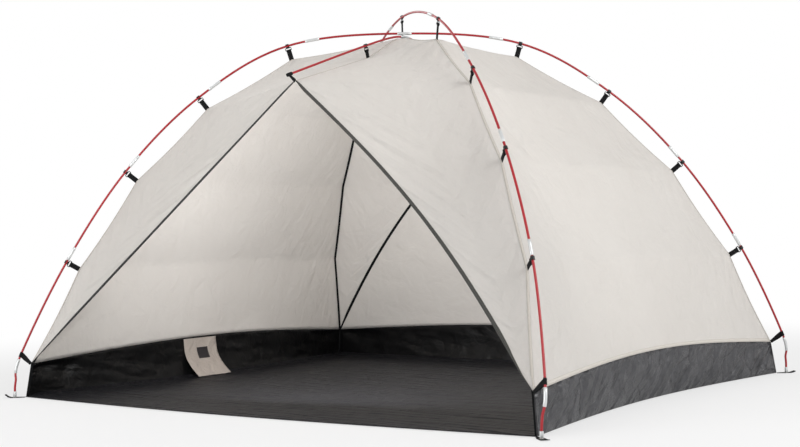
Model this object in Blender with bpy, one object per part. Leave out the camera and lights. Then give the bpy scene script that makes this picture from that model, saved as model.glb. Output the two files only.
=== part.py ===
# Beach tent with an open front: a thin groundsheet, a bathtub wall on three sides, a cloth
# canopy hung by snap clips from two crossing arch poles, and a short ridge pole over the crown.
# Metres, +Z up. The origin is the middle of the groundsheet's underside, the open front faces -Y.

import math

import bmesh
import bpy
from mathutils import Matrix, Vector

# Driving sizes of the footprint and the arches
pole_foot_half_width = 1.150
pole_foot_half_depth = 1.004
arch_height = 1.385
crossing_rise = 0.070
crossing_spread = 0.50
seat_gap = 0.0003

# Route of an arch from foot to crossing: reach and sideways lean as shares of the half diagonal,
# height as a share of the arch height. Each leg leans a little towards its side panel, and its
# foot stands on the pole tip.
# After the foot and the corner loop, each point but the last carries a canopy clip.
arch_route_shares = (
    (1.000, 0.0000, 0.0000),
    (0.998, 0.0450, 0.0025),
    (0.986, 0.1170, 0.0140),
    (0.872, 0.3700, 0.0340),
    (0.720, 0.6200, 0.0330),
    (0.531, 0.8260, 0.0230),
    (0.302, 0.9680, 0.0090),
    (0.000, 1.0000, 0.0000),
)
corner_loop_index = 2
first_clip_index = 3
clips_per_leg = 4
span_step_shares = (0.0, 0.035, 0.23, 0.50, 0.77, 0.965)

# Rods and their metal ferrules
rod_diameter = 0.0085
rod_sides_resolution = 2
ferrule_diameter = 0.0115
ferrule_length = 0.056
ferrule_shoulder = 0.0010
corner_ferrule_offset = -0.046
clip_ferrule_offsets = (0.038, 0.055, 0.078, 0.100)
upper_middle_ferrule_offset = -0.200

# Ridge pole over the crown, bent a little at its middle, hung below the lower arch
ridge_pole_drop = 0.014
ridge_pole_half_length = 0.720
ridge_pole_slope_share = 0.330
ridge_pole_bend_length = 0.092
ridge_pole_steps = 14
ridge_clip_distance = 0.258

# Pole tips, corner tabs and corner loops
tip_cap_radius = 0.0062
tip_cap_length = 0.0200
tip_pin_radius = 0.0026
tip_sides = 12
pole_foot_clearance = 0.0009
tab_width = 0.024
tab_overhang = 0.036
tab_thickness = 0.0020
tab_end_round = 0.0040
eyelet_outer_radius = 0.0085
eyelet_hole_radius = 0.0038
eyelet_height = 0.0030
eyelet_sides = 14
loop_webbing_width = 0.020
loop_webbing_thickness = 0.0018
loop_wall = 0.0018
loop_neck_width = 0.012
loop_foot_gap = 0.0018

# Snap clips
clip_ring_wall = 0.0027
clip_ring_width = 0.013
clip_ring_start = -30.0
clip_ring_sweep = 280.0
clip_ring_segments = 8
clip_frame_width = 0.0255
clip_frame_top = 0.0060
clip_frame_shoulder = 0.0088
clip_slot_top = 0.0104
clip_bar_height = 0.0025
clip_slot_height = 0.0056
clip_frame_thickness = 0.0018
clip_swing_clearance = 0.0021
ring_sides = 16

# Straps that hang the canopy from the clips
strap_width = 0.020
strap_loop_wall = 0.0009
strap_loop_slack = 0.0007
strap_sink = 0.0005
lower_strap_drops = (0.056, 0.056, 0.056, 0.056)
upper_strap_drops = (0.056, 0.056, 0.058, 0.074)
ridge_strap_drop = 0.048
centre_clip_offset = 0.030
centre_clip_span = 0.020

# Canopy cloth, crown and seams
cloth_thickness = 0.0012
cloth_edge_gap = 0.00075
hem_gap = 0.0006
crown_drop = 0.0245
crown_patch_radius = 0.050
crown_patch_thickness = 0.0020
crown_patch_sides = 24
tape_thickness = 0.0016
tape_inner_width = 0.010
tape_outer_width = 0.0010
seam_scallop = 0.006
rows_per_span = 3
roof_columns = 5
side_sag = 0.030
roof_sag = 0.012
hem_turn_power = 6

# Front apex of the canopy, mirrored at the rear, and the edges that fall from it
apex_setback = 0.040
apex_drop = 0.030
door_leg_bow = 0.070
binding_half_width = 0.009
binding_thickness = 0.0024
binding_steps = 20
binding_apex_setback = 0.016
binding_corner_setback = 0.050
roof_corner_setback = 0.085
ridge_tape_setback = 0.020
ridge_clip_row = 2
apex_row = 6
rear_wall_rows = 12
rear_wall_apex_share = 0.020
rear_wall_sag = 0.020

# Bathtub wall and groundsheet
floor_corner_inset = 0.039
floor_thickness = 0.003
front_edge_bow = 0.055
side_edge_bow = 0.090
rear_edge_bow = 0.070
edge_steps = 10
wall_top_inset = 0.0621
wall_corner_height = 0.1275
wall_middle_rise = 0.045
wall_top_bow = 0.050
rear_wall_top_bow = 0.035
wall_foot_inset = 0.0025
wall_rows = 4
wall_belly = 0.010

# Flap hung from the left wall's top seam
flap_front = -0.185
flap_rear = 0.010
flap_top_drop = 0.005
flap_gap = 0.0006
flap_columns = 5
flap_stand_off = 0.0060
flap_rows_shares = (0.0, 0.22, 0.45, 0.68, 0.88)
flap_curl_shares = ((0.45, 0.68), (1.0, 0.50))
flap_curl_length = 0.048
flap_curl_height = 0.018

# Apex cups that hold the ridge pole's ends
cup_wall = 0.0024
cup_depth = 0.022
cup_end_thickness = 0.0030
cup_tail_width = 0.014

half_diagonal = math.hypot(pole_foot_half_width, pole_foot_half_depth)
pole_tip_shoulder = eyelet_height + seat_gap
pole_tip_top = pole_tip_shoulder + tip_cap_length
ridge_pole_height = arch_height - ridge_pole_drop
crown_height = arch_height - crown_drop
along_x = pole_foot_half_width / half_diagonal
along_y = pole_foot_half_depth / half_diagonal
rod_radius = rod_diameter / 2
ring_inner_radius = rod_radius + seat_gap
tape_half = tape_thickness / 2
cloth_from_tape = tape_half + cloth_edge_gap
cloth_from_binding = binding_half_width + cloth_edge_gap
clip_bar_top = clip_slot_top + clip_slot_height
clip_bar_bottom = clip_bar_top + clip_bar_height
strap_loop_top = clip_bar_top - seat_gap - strap_loop_wall
strap_loop_bottom = clip_bar_bottom + strap_loop_slack + strap_loop_wall
strap_loop_half = clip_frame_thickness / 2 + clip_swing_clearance + strap_loop_wall

# Each corner's name and the signs of its x and y. The lower arch stands on the first two.
corners = {
    "front_left": (-1, -1),
    "rear_right": (1, 1),
    "front_right": (1, -1),
    "rear_left": (-1, 1),
}
lower_arch_corners = ("front_left", "rear_right")


# Colours as linear values: base colour, roughness, metallic
material_values = {
    "rod_red": ((0.45, 0.020, 0.026), 0.35, 0.0),
    "tip_metal": ((0.70, 0.71, 0.70), 0.35, 0.9),
    "black_webbing": ((0.008, 0.008, 0.009), 0.85, 0.0),
    "black_plastic": ((0.010, 0.010, 0.011), 0.45, 0.0),
    "canopy_cloth": ((0.70, 0.67, 0.62), 0.75, 0.0),
    "grey_binding": ((0.070, 0.070, 0.063), 0.85, 0.0),
    "wall_cloth": ((0.030, 0.030, 0.032), 0.70, 0.0),
    "floor_sheet": ((0.060, 0.060, 0.064), 0.65, 0.0),
    "flap_cloth": ((0.42, 0.40, 0.37), 0.80, 0.0),
}


def clear_scene():
    for item in list(bpy.data.objects):
        bpy.data.objects.remove(item, do_unlink=True)


def get_material(name):
    material = bpy.data.materials.get(name)
    if material is None:
        colour, roughness, metallic = material_values[name]
        material = bpy.data.materials.new(name)
        material.use_nodes = True
        shader = material.node_tree.nodes["Principled BSDF"]
        shader.inputs["Base Color"].default_value = (*colour, 1.0)
        shader.inputs["Roughness"].default_value = roughness
        shader.inputs["Metallic"].default_value = metallic
    return material


def add_object(name, mesh, material_name):
    item = bpy.data.objects.new(name, mesh)
    bpy.context.scene.collection.objects.link(item)
    if material_name:
        mesh.materials.clear()
        mesh.materials.append(get_material(material_name))
    return item


def finish_mesh(work, name, smooth_angle=None):
    bmesh.ops.recalc_face_normals(work, faces=work.faces)
    mesh = bpy.data.meshes.new(name)
    work.to_mesh(mesh)
    work.free()
    if smooth_angle:
        mesh.shade_smooth()
        mesh.set_sharp_from_angle(angle=math.radians(smooth_angle))
    return mesh


# One mesh from two that overlap, by a Boolean union or difference
def combine_meshes(first, second, operation):
    base = add_object("base", first, None)
    other = add_object("other", second, None)
    step = base.modifiers.new(operation, "BOOLEAN")
    step.operation = operation
    step.solver = "EXACT"
    step.object = other
    view = bpy.context.evaluated_depsgraph_get()
    mesh = bpy.data.meshes.new_from_object(base.evaluated_get(view))
    for item in (base, other):
        bpy.data.objects.remove(item, do_unlink=True)
    return mesh


# A flat plate: the outline is given in two axes, the thickness lies evenly about their plane
def plate_mesh(name, outline, origin, axis_u, axis_v, thickness):
    normal = axis_u.cross(axis_v).normalized()
    work = bmesh.new()
    base = [origin + axis_u * u + axis_v * v - normal * (thickness / 2) for u, v in outline]
    face = work.faces.new([work.verts.new(point) for point in base])
    grown = bmesh.ops.extrude_face_region(work, geom=[face])
    moved = [item for item in grown["geom"] if isinstance(item, bmesh.types.BMVert)]
    bmesh.ops.translate(work, verts=moved, vec=normal * thickness)
    return finish_mesh(work, name)


# A turned shape about local Z: the profile lists radius and height, and closes on the axis
def turned_mesh(name, profile, sides):
    work = bmesh.new()
    points = [work.verts.new((radius, 0, height)) for radius, height in profile]
    edges = [work.edges.new(pair) for pair in zip(points, points[1:])]
    bmesh.ops.spin(work, geom=points + edges, cent=(0, 0, 0), axis=(0, 0, 1),
                   angle=math.tau, steps=sides, use_merge=True)
    bmesh.ops.remove_doubles(work, verts=work.verts, dist=seat_gap / 10)
    return finish_mesh(work, name, 40)


# A cloth sheet with even thickness about its middle surface, from a grid of points
def sheet_object(name, rows, material_name, outward):
    work = bmesh.new()
    grid = [[work.verts.new(point) for point in row] for row in rows]
    for upper, lower in zip(grid, grid[1:]):
        for index in range(len(upper) - 1):
            work.faces.new((upper[index], lower[index], lower[index + 1], upper[index + 1]))
    work.normal_update()
    if sum(face.normal.dot(outward) for face in work.faces) < 0:
        bmesh.ops.reverse_faces(work, faces=work.faces)
    mesh = bpy.data.meshes.new(name)
    work.to_mesh(mesh)
    work.free()
    mesh.shade_smooth()
    sheet = add_object(name, mesh, material_name)
    solid = sheet.modifiers.new("cloth", "SOLIDIFY")
    solid.thickness = cloth_thickness
    solid.offset = 0
    return sheet


# Catmull-Rom point on the span after points[index], at share u of the span
def spline_point(points, index, u):
    before = points[max(index - 1, 0)]
    start, end = points[index], points[index + 1]
    after = points[min(index + 2, len(points) - 1)]
    return 0.5 * (2 * start + (end - before) * u
                  + (2 * before - 5 * start + 4 * end - after) * u ** 2
                  + (3 * start - before - 3 * end + after) * u ** 3)


def lerp(start, end, share):
    return start + (end - start) * share


# Direction from the middle to a corner, and the level normal that points to the side panel
def corner_axis(corner):
    sign_x, sign_y = corners[corner]
    return Vector((sign_x * along_x, sign_y * along_y, 0))


def side_normal(corner):
    sign_x, sign_y = corners[corner]
    return Vector((sign_x * along_y, -sign_y * along_x, 0))


# World place of a point given as reach, height and sideways lean
def place_on_diagonal(corner, point, shift=0.0):
    return (corner_axis(corner) * point.x + Vector((0, 0, point.y))
            + side_normal(corner) * (point.z + shift))


def is_upper(corner):
    return corner not in lower_arch_corners


# Half an arch from foot to crossing, as reach from the middle, height and sideways lean
def leg_points(upper):
    points = []
    for reach_share, height_share, lean_share in arch_route_shares:
        reach = reach_share * half_diagonal
        lift = crossing_rise * math.exp(-(reach / crossing_spread) ** 2) if upper else 0
        height = height_share * arch_height + lift
        points.append(Vector((reach, height, lean_share * half_diagonal)))
    points[0].y = pole_tip_top + pole_foot_clearance
    return points


def full_arch_points(upper):
    leg = leg_points(upper)
    return leg + [Vector((-point.x, point.y, -point.z)) for point in reversed(leg[:-1])]


# Centre line of a whole arch, with more points near each clip so that the rod is true there
def arch_route(upper):
    points = full_arch_points(upper)
    route = []
    for index in range(len(points) - 1):
        shares = list(span_step_shares)
        if upper and index == len(arch_route_shares) - 1:
            shares += [centre_clip_share() + side for side in (-centre_clip_span, centre_clip_span)]
        route += [spline_point(points, index, share) for share in sorted(shares)]
    route.append(points[-1])
    return route


def arc_lengths(route):
    lengths = [0.0]
    for start, end in zip(route, route[1:]):
        lengths.append(lengths[-1] + (end - start).length)
    return lengths


def point_at_length(route, lengths, distance):
    for index in range(len(route) - 1):
        if distance <= lengths[index + 1]:
            share = (distance - lengths[index]) / (lengths[index + 1] - lengths[index])
            return lerp(route[index], route[index + 1], share)
    return route[-1]


# Rod outline along a route: stations and radii, stepping out over each ferrule
def rod_stations(lengths, ferrule_centres):
    half = ferrule_length / 2
    stations = []
    for distance in lengths:
        if all(abs(distance - centre) > half + ferrule_shoulder for centre in ferrule_centres):
            stations.append((distance, rod_radius))
    for centre in ferrule_centres:
        stations.append((centre - half - ferrule_shoulder / 2, rod_radius))
        stations.append((centre - half, ferrule_diameter / 2))
        stations.append((centre + half, ferrule_diameter / 2))
        stations.append((centre + half + ferrule_shoulder / 2, rod_radius))
    return sorted(stations)


def rod_object(name, route, ferrule_centres, to_world):
    lengths = arc_lengths(route)
    stations = rod_stations(lengths, ferrule_centres)
    curve = bpy.data.curves.new(name, "CURVE")
    curve.dimensions = "3D"
    curve.bevel_depth = rod_radius
    curve.bevel_resolution = rod_sides_resolution
    curve.use_fill_caps = True
    spline = curve.splines.new("POLY")
    spline.points.add(len(stations) - 1)
    for knot, (distance, radius) in zip(spline.points, stations):
        knot.co = (*to_world(point_at_length(route, lengths, distance)), 1)
        knot.radius = radius / rod_radius
    return add_curve(name, curve, "rod_red")


def add_curve(name, curve, material_name):
    item = bpy.data.objects.new(name, curve)
    bpy.context.scene.collection.objects.link(item)
    curve.materials.append(get_material(material_name))
    return item


def build_arch_pole(name, corner, upper):
    route = arch_route(upper)
    lengths = arc_lengths(route)
    total = lengths[-1]
    steps = len(span_step_shares)
    leg = [lengths[corner_loop_index * steps] + corner_ferrule_offset]
    for clip, offset in enumerate(clip_ferrule_offsets):
        leg.append(lengths[(first_clip_index + clip) * steps] + offset)
    middle = total / 2 - (upper_middle_ferrule_offset if upper else 0)
    centres = leg + [middle] + [total - distance for distance in leg]
    rod_object(name, route, centres, lambda point: place_on_diagonal(corner, point))


# Ridge pole, in the plane x = 0, as distance along Y and height
def ridge_point(distance):
    fall = math.hypot(distance, ridge_pole_bend_length) - ridge_pole_bend_length
    return Vector((distance, ridge_pole_height - ridge_pole_slope_share * fall))


def place_on_ridge(point):
    return Vector((0, point.x, point.y))


def ridge_tangent(distance):
    rise = -ridge_pole_slope_share * distance / math.hypot(distance, ridge_pole_bend_length)
    return Vector((1, rise)).normalized()


def build_ridge_pole():
    stops = range(-ridge_pole_steps, ridge_pole_steps + 1)
    route = [ridge_point(ridge_pole_half_length * stop / ridge_pole_steps) for stop in stops]
    middle = arc_lengths(route)[-1] / 2
    rod_object("ridge_pole", route, [middle], place_on_ridge)


# Where a clip sits on its arch: the point, and the unit tangent that climbs to the crossing
def clip_seat(upper, clip):
    points = leg_points(upper)
    index = first_clip_index + clip
    after = points[index + 1]
    return points[index], (after - points[index - 1]).normalized()


# Unit vector square to a tangent in its upright plane, pointing in to the tent
def inward_of(tangent):
    turned = Vector((tangent.y, -tangent.x, 0)).normalized()
    return turned if tangent.x > 0 else -turned


def strap_root(upper, clip):
    seat, tangent = clip_seat(upper, clip)
    drops = upper_strap_drops if upper else lower_strap_drops
    return seat + inward_of(tangent) * drops[clip]


# Clip: an open ring snapped on the rod, over a slotted frame. Local X runs along the rod,
# local Z points away from the tent, and the origin is on the rod's centre line.
def clip_mesh():
    outer = ring_inner_radius + clip_ring_wall
    angles = [math.radians(clip_ring_start + clip_ring_sweep * step / clip_ring_segments)
              for step in range(clip_ring_segments + 1)]
    outline = [(outer * math.sin(angle), -outer * math.cos(angle)) for angle in angles]
    outline += [(ring_inner_radius * math.sin(angle), -ring_inner_radius * math.cos(angle))
                for angle in reversed(angles)]
    origin = Vector((0, 0, 0))
    along, across, out = Vector((1, 0, 0)), Vector((0, 1, 0)), Vector((0, 0, 1))
    ring = plate_mesh("clip_ring", outline, origin, across, out, clip_ring_width)
    half_top = clip_ring_width / 2
    half = clip_frame_width / 2
    frame = plate_mesh("clip_frame", [
        (-half_top, -clip_frame_top),
        (half_top, -clip_frame_top),
        (half, -clip_frame_shoulder),
        (half, -clip_bar_bottom),
        (-half, -clip_bar_bottom),
        (-half, -clip_frame_shoulder),
    ], origin, along, out, clip_frame_thickness)
    slot_half = strap_width / 2 + seat_gap
    slot = plate_mesh("clip_slot", [
        (-slot_half, -clip_slot_top),
        (slot_half, -clip_slot_top),
        (slot_half, -clip_bar_top),
        (-slot_half, -clip_bar_top),
    ], origin, along, out, clip_frame_thickness * 2)
    frame = combine_meshes(frame, slot, "DIFFERENCE")
    return combine_meshes(frame, ring, "UNION")


def clip_matrix(place, tangent, outward):
    across = outward.cross(tangent).normalized()
    turn = Matrix((tangent, across, outward)).transposed().to_4x4()
    return Matrix.Translation(place) @ turn


def diagonal_clip_matrix(corner, clip):
    seat, tangent = clip_seat(is_upper(corner), clip)
    return clip_matrix(place_on_diagonal(corner, seat), place_on_diagonal(corner, tangent),
                       place_on_diagonal(corner, -inward_of(tangent)))


def ridge_clip_matrix(side):
    distance = side * ridge_clip_distance
    tangent = ridge_tangent(distance)
    return clip_matrix(place_on_ridge(ridge_point(distance)), place_on_ridge(tangent),
                       place_on_ridge(Vector((-tangent.y, tangent.x))))


def build_clips():
    mesh = clip_mesh()
    mesh.materials.append(get_material("black_plastic"))
    places = {"clip_centre": centre_clip_matrix()}
    for corner in corners:
        for clip in range(clips_per_leg):
            places[f"clip_{corner}_{clip + 1}"] = diagonal_clip_matrix(corner, clip)
    for name, side in (("front", -1), ("rear", 1)):
        places[f"clip_ridge_{name}"] = ridge_clip_matrix(side)
    for name, matrix in places.items():
        add_object(name, mesh, None).matrix_world = matrix


# The centre clip hangs on the upper arch, just behind the crossing: its share of that span
def centre_clip_share():
    return centre_clip_offset / (half_diagonal * arch_route_shares[-2][0])


def centre_clip_matrix():
    points, middle = full_arch_points(True), len(arch_route_shares) - 1
    ends = [spline_point(points, middle, centre_clip_share() + side)
            for side in (centre_clip_span, -centre_clip_span)]
    tangent = (ends[1] - ends[0]).normalized()
    return clip_matrix(place_on_diagonal("front_right", (ends[0] + ends[1]) / 2),
                       place_on_diagonal("front_right", tangent),
                       place_on_diagonal("front_right", -inward_of(tangent)))


# The webbing loop that a clip's bar passes through, in the clip's own axes
def strap_loop_mesh():
    outer = [(-strap_loop_half, -strap_loop_top), (strap_loop_half, -strap_loop_top),
             (strap_loop_half, -strap_loop_bottom), (-strap_loop_half, -strap_loop_bottom)]
    inner_half = strap_loop_half - strap_loop_wall
    inner_top = strap_loop_top + strap_loop_wall
    inner_bottom = strap_loop_bottom - strap_loop_wall
    inner = [(-inner_half, -inner_top), (inner_half, -inner_top),
             (inner_half, -inner_bottom), (-inner_half, -inner_bottom)]
    origin, across, out = Vector((0, 0, 0)), Vector((0, 1, 0)), Vector((0, 0, 1))
    block = plate_mesh("strap_loop", outer, origin, across, out, strap_width - seat_gap * 2)
    hole = plate_mesh("strap_hole", inner, origin, across, out, strap_width * 2)
    return combine_meshes(block, hole, "DIFFERENCE")


# Adds the loop at a strap's top to the mesh that carries the strap
def add_strap_loop(mesh, matrix):
    loop = strap_loop_mesh()
    loop.transform(matrix)
    return combine_meshes(mesh, loop, "UNION")


# The two ends of a strap's foot and of its top edge, in the plane of its clip, along the run
def strap_corners(seat, tangent, inward, drop, run):
    forward = tangent if tangent.dot(run) > 0 else -tangent
    half = forward * (strap_width / 2)
    top = seat + inward * (strap_loop_bottom - strap_sink)
    foot = seat + inward * (drop - tape_outer_width)
    return [foot - half, top - half, top + half, foot + half]


# A seam hangs in straight runs between its strap roots, each a little hollow
def hang_between(roots, steps):
    line = []
    for start, end in zip(roots, roots[1:]):
        hollow = inward_of((start - end).normalized())
        for step in range(steps):
            share = step / steps
            line.append(lerp(start, end, share) + hollow * seam_scallop * math.sin(math.pi * share))
    line.append(roots[-1])
    return line


def wall_top_corner():
    return Vector((half_diagonal - wall_top_inset, wall_corner_height, 0))


def floor_corner():
    return Vector((half_diagonal - floor_corner_inset, floor_thickness, 0))


# Seam from the crown patch's rim down to the wall's top corner
def seam_line(corner):
    rim = Vector((crown_patch_radius + cloth_edge_gap,
                  crown_height - crown_patch_thickness / 2, 0))
    roots = [strap_root(is_upper(corner), clip) for clip in reversed(range(clips_per_leg))]
    return hang_between([rim] + roots + [wall_top_corner()], rows_per_span)


def ridge_root(side):
    distance = side * ridge_clip_distance
    tangent = ridge_tangent(distance)
    return ridge_point(distance) + Vector((tangent.y, -tangent.x)) * ridge_strap_drop


# Apex of the canopy, under the ridge pole's end
def apex_point(side):
    return ridge_point(side * (ridge_pole_half_length - apex_setback)) - Vector((0, apex_drop))


# Ridge seam from the crown patch's rim to the apex, as distance along Y and height
def ridge_line(side):
    rim = Vector((side * (crown_patch_radius + cloth_edge_gap),
                  crown_height - crown_patch_thickness / 2))
    root = ridge_root(side)
    apex = apex_point(side)
    upper = [lerp(rim, root, step / ridge_clip_row) for step in range(ridge_clip_row)]
    lower_steps = apex_row - ridge_clip_row
    lower = [lerp(root, apex, step / lower_steps) for step in range(lower_steps + 1)]
    return upper + lower


# Outline of a tape that follows a line: offset out on one side and in on the other. Its outer
# side steps out around a strap where straps names the four corners for that place in the line.
def tape_outline(line, outer, inner, turn=1, straps=None):
    out_edge, in_edge = [], []
    for index, point in enumerate(line):
        square = line_square(line, index) * turn
        out_edge += (straps or {}).get(index, [point + square * outer])
        in_edge.append(point - square * inner)
    return [tuple(point) for point in out_edge + in_edge[::-1]]


# End of a strap's foot on the seam line, on the side of the neighbouring point
def strap_foot(line, index, neighbour):
    aside = (line[neighbour] - line[index]).normalized() * (strap_width / 2)
    return line[index] + aside + line_square(line, index) * tape_outer_width


# Faces of a seam's tape, row by row along its line, with a face for each strap on its outer side
def seam_patches(line, straps):
    patches = []
    for index in range(len(line)):
        square = line_square(line, index)
        inner = line[index] - square * tape_inner_width
        outer = line[index] + square * tape_outer_width
        corners_out = straps.get(index, [outer])
        if index:
            patches.append([last_inner, last_outer, corners_out[0], inner])
        if index in straps:
            patches.append(corners_out + [outer])
            patches += [[corners_out[0], outer, inner], [outer, corners_out[-1], inner]]
        last_inner, last_outer = inner, corners_out[-1]
    return patches


# A plate from faces that share their edges, given an even thickness along one direction
def folded_plate_mesh(name, patches, normal, thickness):
    work = bmesh.new()
    for patch in patches:
        work.faces.new([work.verts.new(point - normal * (thickness / 2)) for point in patch])
    bmesh.ops.remove_doubles(work, verts=work.verts, dist=seat_gap / 10)
    bmesh.ops.recalc_face_normals(work, faces=work.faces)
    grown = bmesh.ops.extrude_face_region(work, geom=list(work.faces))
    moved = [item for item in grown["geom"] if isinstance(item, bmesh.types.BMVert)]
    bmesh.ops.translate(work, verts=moved, vec=normal * thickness)
    bmesh.ops.triangulate(work, faces=work.faces)
    return finish_mesh(work, name)


def line_run(line, index):
    before = line[max(index - 1, 0)]
    after = line[min(index + 1, len(line) - 1)]
    return (after - before).normalized()


def line_square(line, index):
    run = line_run(line, index)
    square = Vector((-run.y, run.x)).normalized()
    return square.to_3d() if len(run) == 3 else square


def build_seam_tape(corner):
    upper = is_upper(corner)
    drops = upper_strap_drops if upper else lower_strap_drops
    foot = floor_corner() + Vector((-wall_foot_inset, seat_gap, 0))
    line = seam_line(corner) + [lerp(wall_top_corner(), foot, 0.5), foot]
    straps = {}
    for clip in range(clips_per_leg):
        seat, tangent = clip_seat(upper, clip)
        index = (clips_per_leg - clip) * rows_per_span
        straps[index] = strap_corners(seat, tangent, inward_of(tangent), drops[clip],
                                      line_run(line, index))
        straps[index][0] = strap_foot(line, index, index - 1)
        straps[index][-1] = strap_foot(line, index, index + 1)
    patches = [[place_on_diagonal(corner, Vector((point.x, max(point.y, foot.y), point.z)))
                for point in patch] for patch in seam_patches(line, straps)]
    mesh = folded_plate_mesh("tape", patches, side_normal(corner), tape_thickness)
    for clip in range(clips_per_leg):
        mesh = add_strap_loop(mesh, diagonal_clip_matrix(corner, clip))
    add_object(f"seam_tape_{corner}", mesh, "black_webbing")


def build_ridge_tape(name, side):
    line = ridge_line(side)
    line[-1] = line[-1] - line_run(line, len(line) - 1) * ridge_tape_setback
    distance = side * ridge_clip_distance
    tangent = ridge_tangent(distance)
    inward = Vector((tangent.y, -tangent.x))
    strap = strap_corners(ridge_point(distance), tangent, inward, ridge_strap_drop,
                          line_run(line, ridge_clip_row))
    outline = tape_outline(line, tape_outer_width, tape_inner_width, side,
                           {ridge_clip_row: strap})
    mesh = plate_mesh("tape", outline, Vector((0, 0, 0)), Vector((0, 1, 0)),
                      Vector((0, 0, 1)), tape_thickness)
    add_object(f"ridge_tape_{name}", add_strap_loop(mesh, ridge_clip_matrix(side)),
               "black_webbing")


# Edge of the doorway and, mirrored, of the rear wall: a bowed leg from the apex to the corner
def door_leg(side_x, side_y, share):
    apex = place_on_ridge(apex_point(side_y))
    corner = "front_" if side_y < 0 else "rear_"
    corner += "left" if side_x < 0 else "right"
    foot = place_on_diagonal(corner, wall_top_corner())
    chord = (foot - apex).normalized()
    toward = Vector((side_x, -side_y, 0))
    bow = (toward - chord * toward.dot(chord)).normalized()
    place = lerp(apex, foot, share) + bow * door_leg_bow * math.sin(math.pi * share)
    return place, chord, bow


def door_leg_length(side_x, side_y):
    start = door_leg(side_x, side_y, 0)[0]
    end = door_leg(side_x, side_y, 1)[0]
    return (end - start).length


def build_binding(name, side_x, side_y, material_name):
    apex, chord, bow = door_leg(side_x, side_y, 0)
    length = door_leg_length(side_x, side_y)
    first = binding_apex_setback / length
    last = 1 - binding_corner_setback / length
    line = []
    for step in range(binding_steps + 1):
        place = door_leg(side_x, side_y, lerp(first, last, step / binding_steps))[0] - apex
        line.append(Vector((place.dot(chord), place.dot(bow))))
    outline = tape_outline(line, binding_half_width, binding_half_width)
    mesh = plate_mesh(name, outline, apex, chord, bow, binding_thickness)
    add_object(name, mesh, material_name)


# Side panel between a front and a rear seam, from the crown down to the wall's top
def build_side_panel(name, side_x):
    front = "front_left" if side_x < 0 else "front_right"
    rear = "rear_left" if side_x < 0 else "rear_right"
    front_line, rear_line = seam_line(front), seam_line(rear)
    last = len(front_line) - 1
    rows = [crown_arc(front, rear, edge_steps)]
    for index in range(1, last + 1):
        start = place_on_diagonal(front, front_line[index], cloth_from_tape)
        end = place_on_diagonal(rear, rear_line[index], cloth_from_tape)
        share = index / last
        middle_in = lerp(side_sag * math.sin(math.pi * share), wall_top_bow, share ** hem_turn_power)
        middle_up = wall_middle_rise * share ** hem_turn_power
        row = []
        for column in range(edge_steps + 1):
            swell = math.sin(math.pi * column / edge_steps)
            place = lerp(start, end, column / edge_steps)
            row.append(place + Vector((-side_x * middle_in * swell, 0, middle_up * swell)))
        rows.append(row)
    wall = "left" if side_x < 0 else "right"
    rows[-1] = [hem_point(wall, column / edge_steps) for column in range(edge_steps + 1)]
    sheet_object(name, rows, "canopy_cloth", Vector((side_x, 0, 1)))


# Row of cloth points around the crown patch's rim, from one seam to the next
def crown_arc(first, second, columns):
    radius = crown_patch_radius + cloth_edge_gap
    height = crown_height - crown_patch_thickness / 2
    start = place_on_diagonal(first, Vector((radius, height, 0)), cloth_from_tape)
    end = place_on_diagonal(second, Vector((radius, height, 0)), cloth_from_tape)
    return arc_between(start, end, radius, height, columns)


def arc_between(start, end, radius, height, columns):
    first = math.atan2(start.y, start.x)
    sweep = (math.atan2(end.y, end.x) - first + math.pi) % math.tau - math.pi
    angles = [first + sweep * column / columns for column in range(columns + 1)]
    return [Vector((radius * math.cos(angle), radius * math.sin(angle), height))
            for angle in angles]


# Roof panel between an arch seam and the ridge with the leg that falls from the apex
def build_roof_panel(name, corner):
    side_x, side_y = corners[corner]
    seam = seam_line(corner)
    ridge = ridge_line(side_y)
    last = len(seam) - 1
    leg_length = door_leg_length(side_x, side_y)
    leg_end = 1 - roof_corner_setback / leg_length
    chord_hollow = door_leg_bow * (1 - math.cos(math.pi / (2 * (last - apex_row))))
    seam_end = roof_corner_setback / (seam[-1] - seam[-1 - rows_per_span]).length * rows_per_span
    radius, height = crown_patch_radius + cloth_edge_gap, seam[0].y
    start = place_on_diagonal(corner, seam[0], -cloth_from_tape)
    end = Vector((side_x * cloth_from_tape, side_y * radius, height))
    rows = [arc_between(start, end, radius, height, roof_columns)]
    for index in range(1, last + 1):
        place = seam[index]
        if index > last - rows_per_span:
            span_share = (index - last + rows_per_span) / rows_per_span
            reached = span_share * (1 - seam_end / rows_per_span)
            place = lerp(seam[last - rows_per_span], seam[last], reached)
        start = place_on_diagonal(corner, place, -cloth_from_tape)
        if index < apex_row:
            end = place_on_ridge(ridge[index]) + Vector((side_x * cloth_from_tape, 0, 0))
        else:
            share = leg_end * (index - apex_row) / (last - apex_row)
            leg, chord, bow = door_leg(side_x, side_y, share)
            end = leg + bow * (cloth_from_binding + chord_hollow)
        sag = roof_sag * math.sin(math.pi * index / last)
        row = []
        for column in range(roof_columns + 1):
            swell = math.sin(math.pi * column / roof_columns)
            row.append(lerp(start, end, column / roof_columns) - Vector((0, 0, sag * swell)))
        rows.append(row)
    sheet_object(name, rows, "canopy_cloth", Vector((0, side_y, 1)))


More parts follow.
